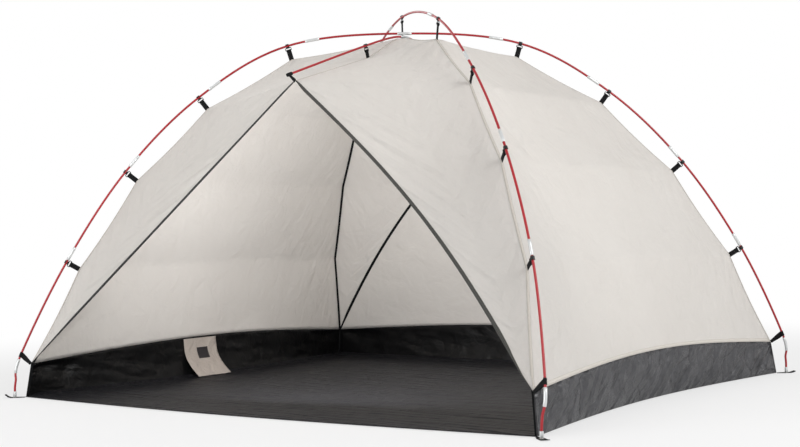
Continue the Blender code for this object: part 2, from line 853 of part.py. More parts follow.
def build_rear_wall():
    rows = []
    for index in range(rear_wall_rows + 1):
        share = lerp(rear_wall_apex_share, 1, index / rear_wall_rows)
        ends = []
        for side_x in (-1, 1):
            leg, chord, bow = door_leg(side_x, 1, share)
            ends.append(leg - bow * cloth_from_binding)
        hem = (index / rear_wall_rows) ** hem_turn_power
        middle_in = lerp(rear_wall_sag * math.sin(math.pi * share), rear_wall_top_bow, hem)
        row = []
        for column in range(edge_steps + 1):
            swell = math.sin(math.pi * column / edge_steps)
            place = lerp(ends[0], ends[1], column / edge_steps)
            row.append(place + Vector((0, -middle_in * swell, wall_middle_rise * hem * swell)))
        rows.append(row)
    start = rear_hem_start()
    rows[-1] = [hem_point("rear", min(max(column / edge_steps, start), 1 - start))
                for column in range(edge_steps + 1)]
    sheet_object("canopy_rear_wall", rows, "canopy_cloth", Vector((0, 1, 0.5)))


def rear_hem_start():
    corner = place_on_diagonal("rear_right", wall_top_corner())
    return (tape_inner_width + binding_half_width * 2) / (2 * corner.x)


def hem_point(wall, share):
    return wall_point(wall, share, 1) + Vector((0, 0, hem_gap))


# Point on a bathtub wall: share runs along it, rise runs from its foot to its top
def wall_point(wall, share, rise):
    foot_corner = floor_corner() + Vector((-wall_foot_inset, hem_gap, 0))
    ends = {"left": ("front_left", "rear_left"), "right": ("front_right", "rear_right"),
            "rear": ("rear_left", "rear_right")}[wall]
    inward = {"left": Vector((1, 0, 0)), "right": Vector((-1, 0, 0)),
              "rear": Vector((0, -1, 0))}[wall]
    shift = cloth_from_tape if wall != "rear" else -cloth_from_tape
    swell = math.sin(math.pi * share)
    foot = lerp(place_on_diagonal(ends[0], foot_corner, shift),
                place_on_diagonal(ends[1], foot_corner, shift), share)
    top = lerp(place_on_diagonal(ends[0], wall_top_corner(), shift),
               place_on_diagonal(ends[1], wall_top_corner(), shift), share)
    foot_bow = rear_edge_bow if wall == "rear" else side_edge_bow
    top_bow = rear_wall_top_bow if wall == "rear" else wall_top_bow
    foot = foot + inward * foot_bow * swell
    top = top + inward * top_bow * swell + Vector((0, 0, wall_middle_rise * swell))
    belly = inward * -wall_belly * math.sin(math.pi * rise) * swell
    return lerp(foot, top, rise) + belly


def build_wall(wall):
    rows = []
    for row in range(wall_rows + 1):
        rise = 1 - row / wall_rows
        rows.append([wall_point(wall, step / edge_steps, rise) for step in range(edge_steps + 1)])
    outward = {"left": Vector((-1, 0, 0)), "right": Vector((1, 0, 0)), "rear": Vector((0, 1, 0))}
    sheet_object(f"bathtub_wall_{wall}", rows, "wall_cloth", outward[wall])


def build_groundsheet():
    corner = place_on_diagonal("rear_right", floor_corner())
    edges = [
        (Vector((-corner.x, -corner.y)), Vector((corner.x, -corner.y)), Vector((0, -front_edge_bow))),
        (Vector((corner.x, -corner.y)), Vector((corner.x, corner.y)), Vector((-side_edge_bow, 0))),
        (Vector((corner.x, corner.y)), Vector((-corner.x, corner.y)), Vector((0, -rear_edge_bow))),
        (Vector((-corner.x, corner.y)), Vector((-corner.x, -corner.y)), Vector((side_edge_bow, 0))),
    ]
    outline = []
    for start, end, bow in edges:
        for step in range(edge_steps):
            share = step / edge_steps
            outline.append(tuple(lerp(start, end, share) + bow * math.sin(math.pi * share)))
    mesh = plate_mesh("groundsheet", outline, Vector((0, 0, floor_thickness / 2)),
                      Vector((1, 0, 0)), Vector((0, 1, 0)), floor_thickness)
    add_object("groundsheet", mesh, "floor_sheet")


# Crown patch with the strap that hangs it from the upper arch's middle
def build_crown_patch():
    height = crown_height - crown_patch_thickness / 2
    outline = [(crown_patch_radius * math.cos(math.tau * step / crown_patch_sides),
                crown_patch_radius * math.sin(math.tau * step / crown_patch_sides))
               for step in range(crown_patch_sides)]
    mesh = plate_mesh("crown", outline, Vector((0, 0, height)), Vector((1, 0, 0)),
                      Vector((0, 1, 0)), crown_patch_thickness)
    top = strap_loop_bottom - strap_sink
    half = strap_width / 2
    foot = centre_clip_matrix().translation.z - height
    strap = plate_mesh("strap", [(-half, -top), (half, -top), (half, -foot), (-half, -foot)],
                       Vector((0, 0, 0)), Vector((1, 0, 0)), Vector((0, 0, 1)), tape_thickness)
    strap.transform(centre_clip_matrix())
    mesh = combine_meshes(mesh, strap, "UNION")
    add_object("crown_patch", add_strap_loop(mesh, centre_clip_matrix()), "black_webbing")


# Pole tips: a capped end over a pin that stands in the corner tab's eyelet
def build_pole_tips():
    floor_clear = seat_gap
    bevel = tip_pin_radius / 3
    profile = [
        (0, floor_clear),
        (tip_pin_radius - bevel, floor_clear),
        (tip_pin_radius, floor_clear + bevel),
        (tip_pin_radius, pole_tip_shoulder),
        (tip_cap_radius, pole_tip_shoulder),
        (tip_cap_radius, pole_tip_top - bevel),
        (tip_cap_radius - bevel, pole_tip_top),
        (0, pole_tip_top),
    ]
    mesh = turned_mesh("pole_tip", profile, tip_sides)
    mesh.materials.append(get_material("tip_metal"))
    for corner in corners:
        tip = add_object(f"pole_tip_{corner}", mesh, None)
        tip.location = corner_axis(corner) * half_diagonal


# Corner tab: webbing from the groundsheet's corner, with an eyelet under the pole's tip
def build_corner_tabs():
    start = half_diagonal - floor_corner_inset + seat_gap
    end = half_diagonal + tab_overhang
    half = tab_width / 2
    up = Vector((0, 0, 1))
    for corner in corners:
        axis, side = corner_axis(corner), up.cross(corner_axis(corner))
        outline = [(start, -tape_thickness), (start + half, -half), (end - tab_end_round, -half),
                   (end, -half + tab_end_round), (end, half - tab_end_round),
                   (end - tab_end_round, half), (start + half, half), (start, tape_thickness)]
        tab = plate_mesh("tab", outline, up * (tab_thickness / 2), axis, side, tab_thickness)
        foot = axis * half_diagonal
        ring = round_plate("ring", foot, eyelet_outer_radius, 0, eyelet_height)
        hole = round_plate("hole", foot, eyelet_hole_radius, -eyelet_height, eyelet_height * 2)
        mesh = combine_meshes(combine_meshes(tab, ring, "UNION"), hole, "DIFFERENCE")
        add_object(f"corner_tab_{corner}", mesh, "black_webbing")


def round_plate(name, centre, radius, bottom, top):
    outline = [(radius * math.cos(math.tau * step / eyelet_sides),
                radius * math.sin(math.tau * step / eyelet_sides)) for step in range(eyelet_sides)]
    middle = centre + Vector((0, 0, (bottom + top) / 2))
    return plate_mesh(name, outline, middle, Vector((1, 0, 0)), Vector((0, 1, 0)), top - bottom)


# A tube about an axis, closed to one body with an open bore
def tube_mesh(name, inner, outer, length):
    half = length / 2
    profile = [(inner, -half), (outer, -half), (outer, half), (inner, half), (inner, -half)]
    work = bmesh.new()
    points = [work.verts.new((radius, 0, height)) for radius, height in profile[:-1]]
    edges = [work.edges.new((points[index], points[(index + 1) % 4])) for index in range(4)]
    bmesh.ops.spin(work, geom=points + edges, cent=(0, 0, 0), axis=(0, 0, 1),
                   angle=math.tau, steps=ring_sides, use_merge=True)
    bmesh.ops.remove_doubles(work, verts=work.verts, dist=seat_gap / 10)
    return finish_mesh(work, name, 40)


# Corner loop: webbing that ties the wall's top corner to the pole
def build_corner_loops():
    for corner in corners:
        points = leg_points(is_upper(corner))
        seat = points[corner_loop_index]
        tangent = (points[corner_loop_index + 1] - points[corner_loop_index - 1]).normalized()
        inward = inward_of(tangent)
        run = place_on_diagonal(corner, tangent)
        across = run.cross(side_normal(corner)).normalized()
        ring = tube_mesh("loop", ring_inner_radius, ring_inner_radius + loop_wall,
                         loop_webbing_width)
        ring.transform(Matrix.Translation(place_on_diagonal(corner, seat))
                       @ Matrix((across.cross(run), across, run)).transposed().to_4x4())
        near = seat + inward * (ring_inner_radius + loop_wall / 2)
        half = tangent * (loop_webbing_width / 2 - seat_gap)
        reach = (wall_top_corner() - seat).normalized()
        square = Vector((-reach.y, reach.x, 0)).normalized() * (loop_neck_width / 2)
        if square.dot(tangent) < 0:
            square = -square
        foot = wall_top_corner() - reach * (tape_outer_width + loop_foot_gap)
        outline = [near + half, near - half, foot - square, foot + square]
        patch = [place_on_diagonal(corner, point) for point in outline]
        strap = folded_plate_mesh("strap", [patch], side_normal(corner), loop_webbing_thickness)
        add_object(f"corner_loop_{corner}", combine_meshes(ring, strap, "UNION"), "black_webbing")


# Apex cup: a closed sleeve on the ridge pole's end, sewn to the canopy's apex
def build_apex_cups():
    outer = ring_inner_radius + cup_wall
    end = ridge_pole_half_length
    for name, side in (("front", -1), ("rear", 1)):
        tangent = ridge_tangent(side * end)
        run = place_on_ridge(tangent) * side
        profile = [(0, seat_gap + cup_end_thickness), (outer, seat_gap + cup_end_thickness),
                   (outer, -cup_depth), (ring_inner_radius, -cup_depth),
                   (ring_inner_radius, seat_gap), (0, seat_gap)]
        cup = turned_mesh("cup", profile, ring_sides)
        across = Vector((1, 0, 0))
        turn = Matrix((across, run.cross(across), run)).transposed().to_4x4()
        cup.transform(Matrix.Translation(place_on_ridge(ridge_point(side * end))) @ turn)
        middle = ridge_point(side * (end - cup_depth / 2))
        under = middle + Vector((tangent.y, -tangent.x)) * (ring_inner_radius + cup_wall / 2)
        apex = apex_point(side)
        half = cup_tail_width / 2
        square = line_square([under, apex], 0) * half
        outline = [tuple(point) for point in (under + tangent * half, under - tangent * half,
                                              apex - square, apex + square)]
        tail = plate_mesh("tail", outline, Vector((0, 0, 0)), Vector((0, 1, 0)),
                          Vector((0, 0, 1)), loop_webbing_thickness)
        add_object(f"apex_cup_{name}", combine_meshes(cup, tail, "UNION"), "black_webbing")


# Flap: hangs inside the left wall from its top seam, its free end curled over the floor
def build_flap():
    wall_front = place_on_diagonal("front_left", wall_top_corner()).y
    rows = []
    for depth in flap_rows_shares:
        row = []
        for column in range(flap_columns + 1):
            place_y = lerp(flap_front, flap_rear, column / flap_columns)
            share = (place_y - wall_front) / (-2 * wall_front)
            top = wall_point("left", share, 1)
            foot = wall_point("left", share, 0)
            place = wall_point("left", share, 1 - depth)
            start = cloth_thickness + flap_gap
            place = place + Vector((start + flap_stand_off * math.sqrt(depth), 0, 0))
            place.z = lerp(top.z - flap_top_drop, foot.z + flap_curl_height, depth)
            row.append(place)
        rows.append(row)
    last = rows[-1]
    for reach, height in flap_curl_shares:
        rows.append([Vector((point.x + flap_curl_length * reach, point.y,
                             floor_thickness + flap_curl_height * height)) for point in last])
    flap = sheet_object("storage_flap", rows, "flap_cloth", Vector((1, 0, 0)))
    hinge = (rows[0][0] + rows[0][-1]) / 2
    flap.data.transform(Matrix.Translation(-hinge))
    flap.location = hinge


clear_scene()
build_groundsheet()
for wall_name in ("left", "right", "rear"):
    build_wall(wall_name)
build_side_panel("canopy_side_left", -1)
build_side_panel("canopy_side_right", 1)
for corner_name in corners:
    build_roof_panel(f"canopy_roof_{corner_name}", corner_name)
build_rear_wall()
build_crown_patch()
for side_name, sign in (("left", -1), ("right", 1)):
    build_binding(f"door_binding_{side_name}", sign, -1, "grey_binding")
    build_binding(f"rear_binding_{side_name}", sign, 1, "black_webbing")
for corner_name in corners:
    build_seam_tape(corner_name)
build_ridge_tape("front", -1)
build_ridge_tape("rear", 1)
build_arch_pole("arch_pole_lower", "rear_right", False)
build_arch_pole("arch_pole_upper", "front_right", True)
build_ridge_pole()
build_clips()
build_corner_loops()
build_apex_cups()
build_pole_tips()
build_corner_tabs()
build_flap()
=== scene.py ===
import math
import random

import bmesh
import bpy
from mathutils import Matrix, Vector, noise


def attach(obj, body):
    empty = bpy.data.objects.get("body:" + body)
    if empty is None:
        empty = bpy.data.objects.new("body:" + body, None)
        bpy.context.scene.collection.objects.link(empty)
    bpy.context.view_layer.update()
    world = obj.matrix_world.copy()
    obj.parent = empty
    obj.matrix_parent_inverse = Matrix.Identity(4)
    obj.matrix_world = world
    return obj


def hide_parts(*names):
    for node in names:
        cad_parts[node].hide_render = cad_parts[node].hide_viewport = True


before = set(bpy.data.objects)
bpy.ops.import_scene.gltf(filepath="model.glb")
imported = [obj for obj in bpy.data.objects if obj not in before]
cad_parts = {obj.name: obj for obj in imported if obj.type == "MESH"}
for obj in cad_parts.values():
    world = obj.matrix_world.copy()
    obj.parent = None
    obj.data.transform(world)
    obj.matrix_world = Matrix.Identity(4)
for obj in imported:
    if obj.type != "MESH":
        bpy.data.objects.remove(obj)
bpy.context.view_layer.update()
print("frame: the packed tent is in place")

# Lines of the tent, the same as the part's own, in metres
tent = {
    "footHalfWidth": 1.150,
    "footHalfDepth": 1.004,
    "archHeight": 1.385,
    "crossingRise": 0.070,
    "crossingSpread": 0.50,
    "archShares": ((1.000, 0.0000, 0.0000), (0.998, 0.0450, 0.0025), (0.986, 0.1170, 0.0140),
                   (0.872, 0.3700, 0.0340), (0.720, 0.6200, 0.0330), (0.531, 0.8260, 0.0230),
                   (0.302, 0.9680, 0.0090), (0.000, 1.0000, 0.0000)),
    "footHeight": 0.0242,
    "lowerDrops": (0.056, 0.056, 0.056, 0.056),
    "upperDrops": (0.056, 0.056, 0.058, 0.074),
    "ridgeHeight": 1.371,
    "ridgeHalf": 0.720,
    "ridgeSlope": 0.330,
    "ridgeBend": 0.092,
    "ridgeClipDistance": 0.258,
    "ridgeDrop": 0.048,
    "crownHeight": 1.3595,
    "crownRim": 0.05075,
    "scallop": 0.006,            # hollow of a seam between two straps
    "apexDistance": 0.680,
    "apexHeight": 1.145,
    "legBow": 0.070,
    "wallTopInset": 0.0621,
    "wallCornerHeight": 0.1275,
    "floorInset": 0.039,
    "floorHeight": 0.003,
    "wallFootInset": 0.0025,
    "wallTopBow": 0.050,
    "rearTopBow": 0.035,
    "wallRise": 0.045,
    "wallBelly": 0.010,
    "sideBow": 0.090,            # how far the floor's edges curve, at their middles
    "rearBow": 0.070,
    "frontBow": 0.055,
    "sideSag": 0.030,
    "roofSag": 0.012,
    "rearSag": 0.020,
}
corners = {"front_left": (-1, -1), "rear_right": (1, 1), "front_right": (1, -1),
           "rear_left": (-1, 1)}
halfDiagonal = math.hypot(tent["footHalfWidth"], tent["footHalfDepth"])
alongX = tent["footHalfWidth"] / halfDiagonal
alongY = tent["footHalfDepth"] / halfDiagonal
rodRadius = 0.00425
lastStep = 15                    # a seam runs from the crown, 0, to the wall's top, 15
apexStep = 6                     # where the ridge ends and an edge falls from the apex


def mix(start, end, share):
    return start + (end - start) * share


def smooth(share):
    share = min(max(share, 0.0), 1.0)
    return share * share * (3 - 2 * share)


def splinePoint(points, index, share):
    before, after = points[max(index - 1, 0)], points[min(index + 2, len(points) - 1)]
    start, end = points[index], points[index + 1]
    return 0.5 * (2 * start + (end - before) * share
                  + (2 * before - 5 * start + 4 * end - after) * share ** 2
                  + (3 * start - before - 3 * end + after) * share ** 3)


def cornerAxis(corner):
    signX, signY = corners[corner]
    return Vector((signX * alongX, signY * alongY, 0))


def sideNormal(corner):
    signX, signY = corners[corner]
    return Vector((signX * alongY, -signY * alongX, 0))


# A point of an arch: reach from the middle, height, and how far it leans to its side panel
def onDiagonal(corner, point, shift=0.0):
    return (cornerAxis(corner) * point.x + Vector((0, 0, point.y))
            + sideNormal(corner) * (point.z + shift))


def isUpper(corner):
    return corner in ("front_right", "rear_left")


def legPoints(upper):
    points = []
    for reachShare, heightShare, leanShare in tent["archShares"]:
        reach = reachShare * halfDiagonal
        hump = tent["crossingRise"] * math.exp(-(reach / tent["crossingSpread"]) ** 2)
        points.append(Vector((reach, heightShare * tent["archHeight"] + (hump if upper else 0),
                              leanShare * halfDiagonal)))
    points[0].y = tent["footHeight"]
    return points


def archPoints(upper):
    leg = legPoints(upper)
    return leg + [Vector((-point.x, point.y, -point.z)) for point in reversed(leg[:-1])]


def inwardOf(tangent):
    turned = Vector((tangent.y, -tangent.x, 0)).normalized()
    return turned if tangent.x > 0 else -turned


def clipSeat(upper, clip):
    points = legPoints(upper)
    index = 3 + clip
    return points[index], (points[index + 1] - points[index - 1]).normalized()


def strapRoot(upper, clip):
    seat, tangent = clipSeat(upper, clip)
    drops = tent["upperDrops"] if upper else tent["lowerDrops"]
    return seat + inwardOf(tangent) * drops[clip]


def wallTopCorner():
    return Vector((halfDiagonal - tent["wallTopInset"], tent["wallCornerHeight"], 0))


def floorCorner():
    return Vector((halfDiagonal - tent["floorInset"], tent["floorHeight"], 0))


seamRoots = {}
for cornerName in corners:
    seamRoots[cornerName] = [Vector((tent["crownRim"], tent["crownHeight"], 0))]
    seamRoots[cornerName] += [strapRoot(isUpper(cornerName), clip) for clip in (3, 2, 1, 0)]
    seamRoots[cornerName].append(wallTopCorner())


# Point on an arch's seam, by step, in the plane of its diagonal. Below 0 it runs in to the middle.
def seamAt(corner, step):
    roots = seamRoots[corner]
    if step < 0:
        return mix(roots[0], Vector((0, roots[0].y, 0)), -step)
    span = min(int(step / 3), 4)
    share = step / 3 - span
    start, end = roots[span], roots[span + 1]
    hollow = inwardOf((start - end).normalized()) * tent["scallop"]
    return mix(start, end, share) + hollow * math.sin(math.pi * share)


def ridgePoint(distance):
    fall = math.hypot(distance, tent["ridgeBend"]) - tent["ridgeBend"]
    return Vector((distance, tent["ridgeHeight"] - tent["ridgeSlope"] * fall))


def ridgeTangent(distance):
    rise = -tent["ridgeSlope"] * distance / math.hypot(distance, tent["ridgeBend"])
    return Vector((1, rise)).normalized()


def ridgeRoot(side):
    distance = side * tent["ridgeClipDistance"]
    tangent = ridgeTangent(distance)
    return ridgePoint(distance) + Vector((tangent.y, -tangent.x)) * tent["ridgeDrop"]


def ridgeAt(side, step):
    rim, root = Vector((side * tent["crownRim"], tent["crownHeight"])), ridgeRoot(side)
    apex = Vector((side * tent["apexDistance"], tent["apexHeight"]))
    if step < 0:
        point = mix(rim, Vector((0, rim.y)), -step)
    elif step < 2:
        point = mix(rim, root, step / 2)
    else:
        point = mix(root, apex, (step - 2) / (apexStep - 2))
    return Vector((0, point.x, point.y))


# Edge that falls from an apex to a corner: the point, and the way that the edge bows
def legAt(sideX, sideY, share):
    apex = Vector((0, sideY * tent["apexDistance"], tent["apexHeight"]))
    corner = ("front_" if sideY < 0 else "rear_") + ("left" if sideX < 0 else "right")
    foot = onDiagonal(corner, wallTopCorner())
    chord = (foot - apex).normalized()
    toward = Vector((sideX, -sideY, 0))
    bow = (toward - chord * toward.dot(chord)).normalized()
    return mix(apex, foot, share) + bow * tent["legBow"] * math.sin(math.pi * share), bow


# Point on a bathtub wall: share runs along it, rise from its foot to its top
def wallPoint(wall, share, rise):
    footCorner = floorCorner() + Vector((-tent["wallFootInset"], 0, 0))
    first, last = {"left": ("front_left", "rear_left"), "right": ("front_right", "rear_right"),
                   "rear": ("rear_left", "rear_right")}[wall]
    inward = Vector({"left": (1, 0, 0), "right": (-1, 0, 0), "rear": (0, -1, 0)}[wall])
    swell = math.sin(math.pi * share)
    foot = mix(onDiagonal(first, footCorner), onDiagonal(last, footCorner), share)
    top = mix(onDiagonal(first, wallTopCorner()), onDiagonal(last, wallTopCorner()), share)
    foot += inward * swell * (tent["rearBow"] if wall == "rear" else tent["sideBow"])
    top += inward * swell * (tent["rearTopBow"] if wall == "rear" else tent["wallTopBow"])
    top.z += tent["wallRise"] * swell
    return mix(foot, top, rise) - inward * tent["wallBelly"] * math.sin(math.pi * rise) * swell


# The small tools that every piece uses
def toLinear(hexColour):
    shares = [int(hexColour[place:place + 2], 16) / 255 for place in (1, 3, 5)]
    return [s / 12.92 if s <= 0.04045 else ((s + 0.055) / 1.055) ** 2.4 for s in shares] + [1.0]


def addNode(tree, kind, settings=None, links=None):
    node = tree.nodes.new(kind)
    for name, value in (settings or {}).items():
        if isinstance(name, str) and hasattr(node, name):
            setattr(node, name, value)
        else:
            node.inputs[name].default_value = value
    for name, source in (links or {}).items():
        tree.links.new(source, node.inputs[name])
    return node


def newPiece(name, work, materials, body="tent", smoothAngle=180):
    mesh = bpy.data.meshes.new(name)
    work.to_mesh(mesh)
    work.free()
    mesh.shade_smooth()
    if smoothAngle < 180:
        mesh.set_sharp_from_angle(angle=math.radians(smoothAngle))
    return placePiece(name, mesh, materials, body)


def placePiece(name, data, materials, body="tent"):
    piece = bpy.data.objects.new(name, data)
    bpy.context.scene.collection.objects.link(piece)
    for material in materials:
        data.materials.append(material)
    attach(piece, body)
    return piece


def thicken(piece, thickness, offset=0.0, innerSlot=0):
    solid = piece.modifiers.new("thickness", "SOLIDIFY")
    solid.thickness = thickness
    solid.offset = offset
    solid.use_even_offset = False
    solid.material_offset = innerSlot
    solid.material_offset_rim = innerSlot


def roundEdges(piece, width, segments=2, angle=35):
    bevel = piece.modifiers.new("edges", "BEVEL")
    bevel.width = width
    bevel.segments = segments
    bevel.limit_method = "ANGLE"
    bevel.angle_limit = math.radians(angle)
    bevel.use_clamp_overlap = True


# A cloth from a flat grid: spot gives each vertex its place, its UV in metres and how free it hangs
def layGrid(work, rows, columns, spot, strip=None):
    uvLayer = work.loops.layers.uv.verify()
    freeLayer = work.verts.layers.float.get("free") or work.verts.layers.float.new("free")
    stripLayer = work.faces.layers.int.get("strip") or work.faces.layers.int.new("strip")
    made = bmesh.ops.create_grid(work, x_segments=columns, y_segments=rows, size=1)
    spots = {}
    for vert in made["verts"]:
        column = round((vert.co.x + 1) / 2 * columns)
        row = round((vert.co.y + 1) / 2 * rows)
        place, uv, free = spot(row, column)
        spots[vert] = (row, column, uv, place, free)
    for vert, (row, column, uv, place, free) in spots.items():
        vert.co = place
        vert[freeLayer] = free
    for face in {face for vert in spots for face in vert.link_faces}:
        for loop in face.loops:
            loop[uvLayer].uv = spots[loop.vert][2]
        if strip:
            row = min(spots[vert][0] for vert in face.verts)
            column = min(spots[vert][1] for vert in face.verts)
            face[stripLayer] = strip(row, column)


def turnOutward(work, outward):
    bmesh.ops.recalc_face_normals(work, faces=work.faces)
    if sum(face.normal.dot(outward(face.calc_center_median())) * face.calc_area()
           for face in work.faces) < 0:
        bmesh.ops.reverse_faces(work, faces=work.faces)
    work.normal_update()


# Folds: each is a soft ridge or hollow from start towards end, as wide and deep as it says. It
# rises over the first fifth of its length, and fades away over the last two thirds.
def makeFold(start, end, width, depth):
    return start, (end - start).normalized(), (end - start).length, width, depth


def foldHeight(point, normal, folds):
    total = 0.0
    for start, run, length, width, depth in folds:
        offset = point - start
        along = offset.dot(run)
        if along < 0 or along > length:
            continue
        offset -= normal * offset.dot(normal) + run * along
        if offset.length_squared < 9 * width * width:
            taper = smooth(along / (0.22 * length)) * (1 - smooth((along / length - 0.35) / 0.65))
            total += depth * taper * math.exp(-offset.length_squared / (width * width))
    return total


# Pushes a cloth along its normals by folds and by a soft unevenness: (size, depth) for each layer
def crease(work, folds, unevenness, stretch=Vector((1, 1, 1))):
    freeLayer = work.verts.layers.float["free"]
    work.normal_update()
    moves = []
    for vert in work.verts:
        free = vert[freeLayer]
        if free > 0:
            height = foldHeight(vert.co, vert.normal, folds)
            for size, depth in unevenness:
                height += depth * noise.noise(vert.co * stretch / size)
            moves.append((vert, vert.normal * height * free))
    for vert, move in moves:
        vert.co += move
    work.normal_update()


# Sewn stitches in metres: their pitch, the share of it that a dash covers, half their width
stitchCut = {"pitch": 0.0035, "dash": 0.68, "half": 0.00045}


# Woven cloth and tape. Sizes in millimetres: the thread is drawn coarser than the real one,
# about 0.2 mm, so that it shows. crinkle is the size and depth of soft dents. pulls are long
# wrinkles: their pitch, length, depth and angle, and how far from an edge they fade away.
# facets are slanting dents between creases: their length, width, depth and angle, and
# the crease colour paints shade into the sharpest of them. stitches lists how far each stitched
# line lies from the edge. shine is the specular level, and through is the light let through.
def wovenCloth(name, look):
    material = bpy.data.materials.new(name)
    material.use_nodes = True
    tree = material.node_tree
    shader = tree.nodes["Principled BSDF"]
    shader.inputs["Roughness"].default_value = look["roughness"]
    shader.inputs["Sheen Weight"].default_value = look.get("sheen", 0.0)
    shader.inputs["Sheen Roughness"].default_value = 0.5
    shader.inputs["Specular IOR Level"].default_value = look.get("shine", 0.5)
    coords = addNode(tree, "ShaderNodeTexCoord")
    patches = addNode(tree, "ShaderNodeTexNoise",
                      {"Scale": 1000 / look["patchSize"], "Detail": 4.0, "Roughness": 0.6},
                      {"Vector": coords.outputs["Object"]})
    colour = addNode(tree, "ShaderNodeMix", {"data_type": "RGBA", 6: toLinear(look["colour"]),
                                             7: toLinear(look["shade"])},
                     {0: patches.outputs["Fac"]}).outputs[2]
    threads = []
    for direction in ("X", "Y"):                # at a scale of 1 a wave's band is 0.314 m long
        wave = addNode(tree, "ShaderNodeTexWave",
                       {"bands_direction": direction, "Scale": 314 / look["thread"] / 2,
                        "Distortion": 0.4, "Detail": 1.0},
                       {"Vector": coords.outputs["UV"]})
        threads.append(wave.outputs["Fac"])
    weave = addNode(tree, "ShaderNodeMath", {"operation": "ADD"}, {0: threads[0], 1: threads[1]})
    bump = addNode(tree, "ShaderNodeBump", {"Strength": look.get("weave", 0.3), "Distance": 0.0002},
                   {"Height": weave.outputs[0]})
    if look.get("crinkle"):
        size, depth = look["crinkle"]
        crinkle = addNode(tree, "ShaderNodeTexNoise",
                          {"Scale": 1000 / size, "Detail": 4.0, "Roughness": 0.55,
                           "Distortion": 0.6}, {"Vector": coords.outputs["Object"]})
        bump = addNode(tree, "ShaderNodeBump", {"Strength": 1.0, "Distance": depth / 1000},
                       {"Height": crinkle.outputs["Fac"], "Normal": bump.outputs["Normal"]})
    if look.get("pulls"):
        pitch, length, depth, angle, reach = look["pulls"]
        turned = addNode(tree, "ShaderNodeVectorRotate",
                         {"rotation_type": "Z_AXIS", "Angle": math.radians(angle)},
                         {"Vector": coords.outputs["UV"]})
        stretched = addNode(tree, "ShaderNodeVectorMath",
                            {"operation": "MULTIPLY", 1: (1000 / pitch, 1000 / length, 1)},
                            {0: turned.outputs[0]})
        pulls = addNode(tree, "ShaderNodeTexNoise",
                        {"Scale": 1.0, "Detail": 1.5, "Roughness": 0.45, "Distortion": 0.35},
                        {"Vector": stretched.outputs[0]})
        split = addNode(tree, "ShaderNodeSeparateXYZ", {}, {0: coords.outputs["UV"]})
        fade = addNode(tree, "ShaderNodeMapRange",
                       {"From Max": reach / 1000, "To Min": 1.0, "To Max": 0.15},
                       {"Value": split.outputs["X"]})
        height = addNode(tree, "ShaderNodeMath", {"operation": "MULTIPLY"},
                         {0: pulls.outputs["Fac"], 1: fade.outputs[0]})
        bump = addNode(tree, "ShaderNodeBump", {"Strength": 1.0, "Distance": depth / 1000},
                       {"Height": height.outputs[0], "Normal": bump.outputs["Normal"]})
    if look.get("facets"):
        length, width, depth, angle = look["facets"]
        waver = addNode(tree, "ShaderNodeTexNoise", {"Scale": 600 / width, "Detail": 2.0},
                        {"Vector": coords.outputs["UV"]})
        bent = addNode(tree, "ShaderNodeVectorMath",
                       {"operation": "MULTIPLY_ADD", 1: (width / 3000,) * 3},
                       {0: waver.outputs["Color"], 2: coords.outputs["UV"]})
        turned = addNode(tree, "ShaderNodeVectorRotate",
                         {"rotation_type": "Z_AXIS", "Angle": math.radians(angle)},
                         {"Vector": bent.outputs[0]})
        stretched = addNode(tree, "ShaderNodeVectorMath",
                            {"operation": "MULTIPLY", 1: (1000 / length, 1000 / width, 1)},
                            {0: turned.outputs[0]})
        cells = addNode(tree, "ShaderNodeTexVoronoi",
                        {"feature": "DISTANCE_TO_EDGE", "voronoi_dimensions": "2D", "Scale": 1.0},
                        {"Vector": stretched.outputs[0]})
        bump = addNode(tree, "ShaderNodeBump", {"Strength": 1.0, "Distance": depth / 1000},
                       {"Height": cells.outputs["Distance"], "Normal": bump.outputs["Normal"]})
        # Painted shade: near the cells' edges, in some patches, the colour darkens to the crease
        # colour, for the shade that falls in the sharpest creases
        near = addNode(tree, "ShaderNodeMapRange",
                       {"From Max": 0.05, "To Min": 1.0, "To Max": 0.0},
                       {"Value": cells.outputs["Distance"]})
        some = addNode(tree, "ShaderNodeMapRange", {"From Min": 0.49, "From Max": 0.57},
                       {"Value": waver.outputs["Fac"]})
        creaseShadeMask = addNode(tree, "ShaderNodeMath", {"operation": "MULTIPLY"},
                        {0: near.outputs[0], 1: some.outputs[0]})
        colour = addNode(tree, "ShaderNodeMix",
                         {"data_type": "RGBA", 7: toLinear(look["creaseShadeColour"])},
                         {0: creaseShadeMask.outputs[0], 6: colour}).outputs[2]
    if look.get("stitches"):
        split = addNode(tree, "ShaderNodeSeparateXYZ", {}, {0: coords.outputs["UV"]})
        pitch = addNode(tree, "ShaderNodeMath", {"operation": "DIVIDE", 1: stitchCut["pitch"]},
                        {0: split.outputs["Y"]})
        part = addNode(tree, "ShaderNodeMath", {"operation": "FRACT"}, {0: pitch.outputs[0]})
        dash = addNode(tree, "ShaderNodeMath", {"operation": "LESS_THAN", 1: stitchCut["dash"]},
                       {0: part.outputs[0]}).outputs[0]
        lines = None
        for distance in look["stitches"]:
            line = addNode(tree, "ShaderNodeMath",
                           {"operation": "COMPARE", 1: distance / 1000, 2: stitchCut["half"]},
                           {0: split.outputs["X"]})
            lines = line.outputs[0] if lines is None else addNode(
                tree, "ShaderNodeMath", {"operation": "MAXIMUM"},
                {0: lines, 1: line.outputs[0]}).outputs[0]
        stitch = addNode(tree, "ShaderNodeMath", {"operation": "MULTIPLY"},
                         {0: lines, 1: dash}).outputs[0]
        colour = addNode(tree, "ShaderNodeMix",
                         {"data_type": "RGBA", 7: toLinear(look["threadColour"])},
                         {0: stitch, 6: colour}).outputs[2]
        bump = addNode(tree, "ShaderNodeBump", {"Strength": 0.6, "Distance": 0.0005},
                       {"Height": stitch, "Normal": bump.outputs["Normal"]})
    tree.links.new(colour, shader.inputs["Base Color"])
    tree.links.new(bump.outputs["Normal"], shader.inputs["Normal"])
    if look.get("through"):
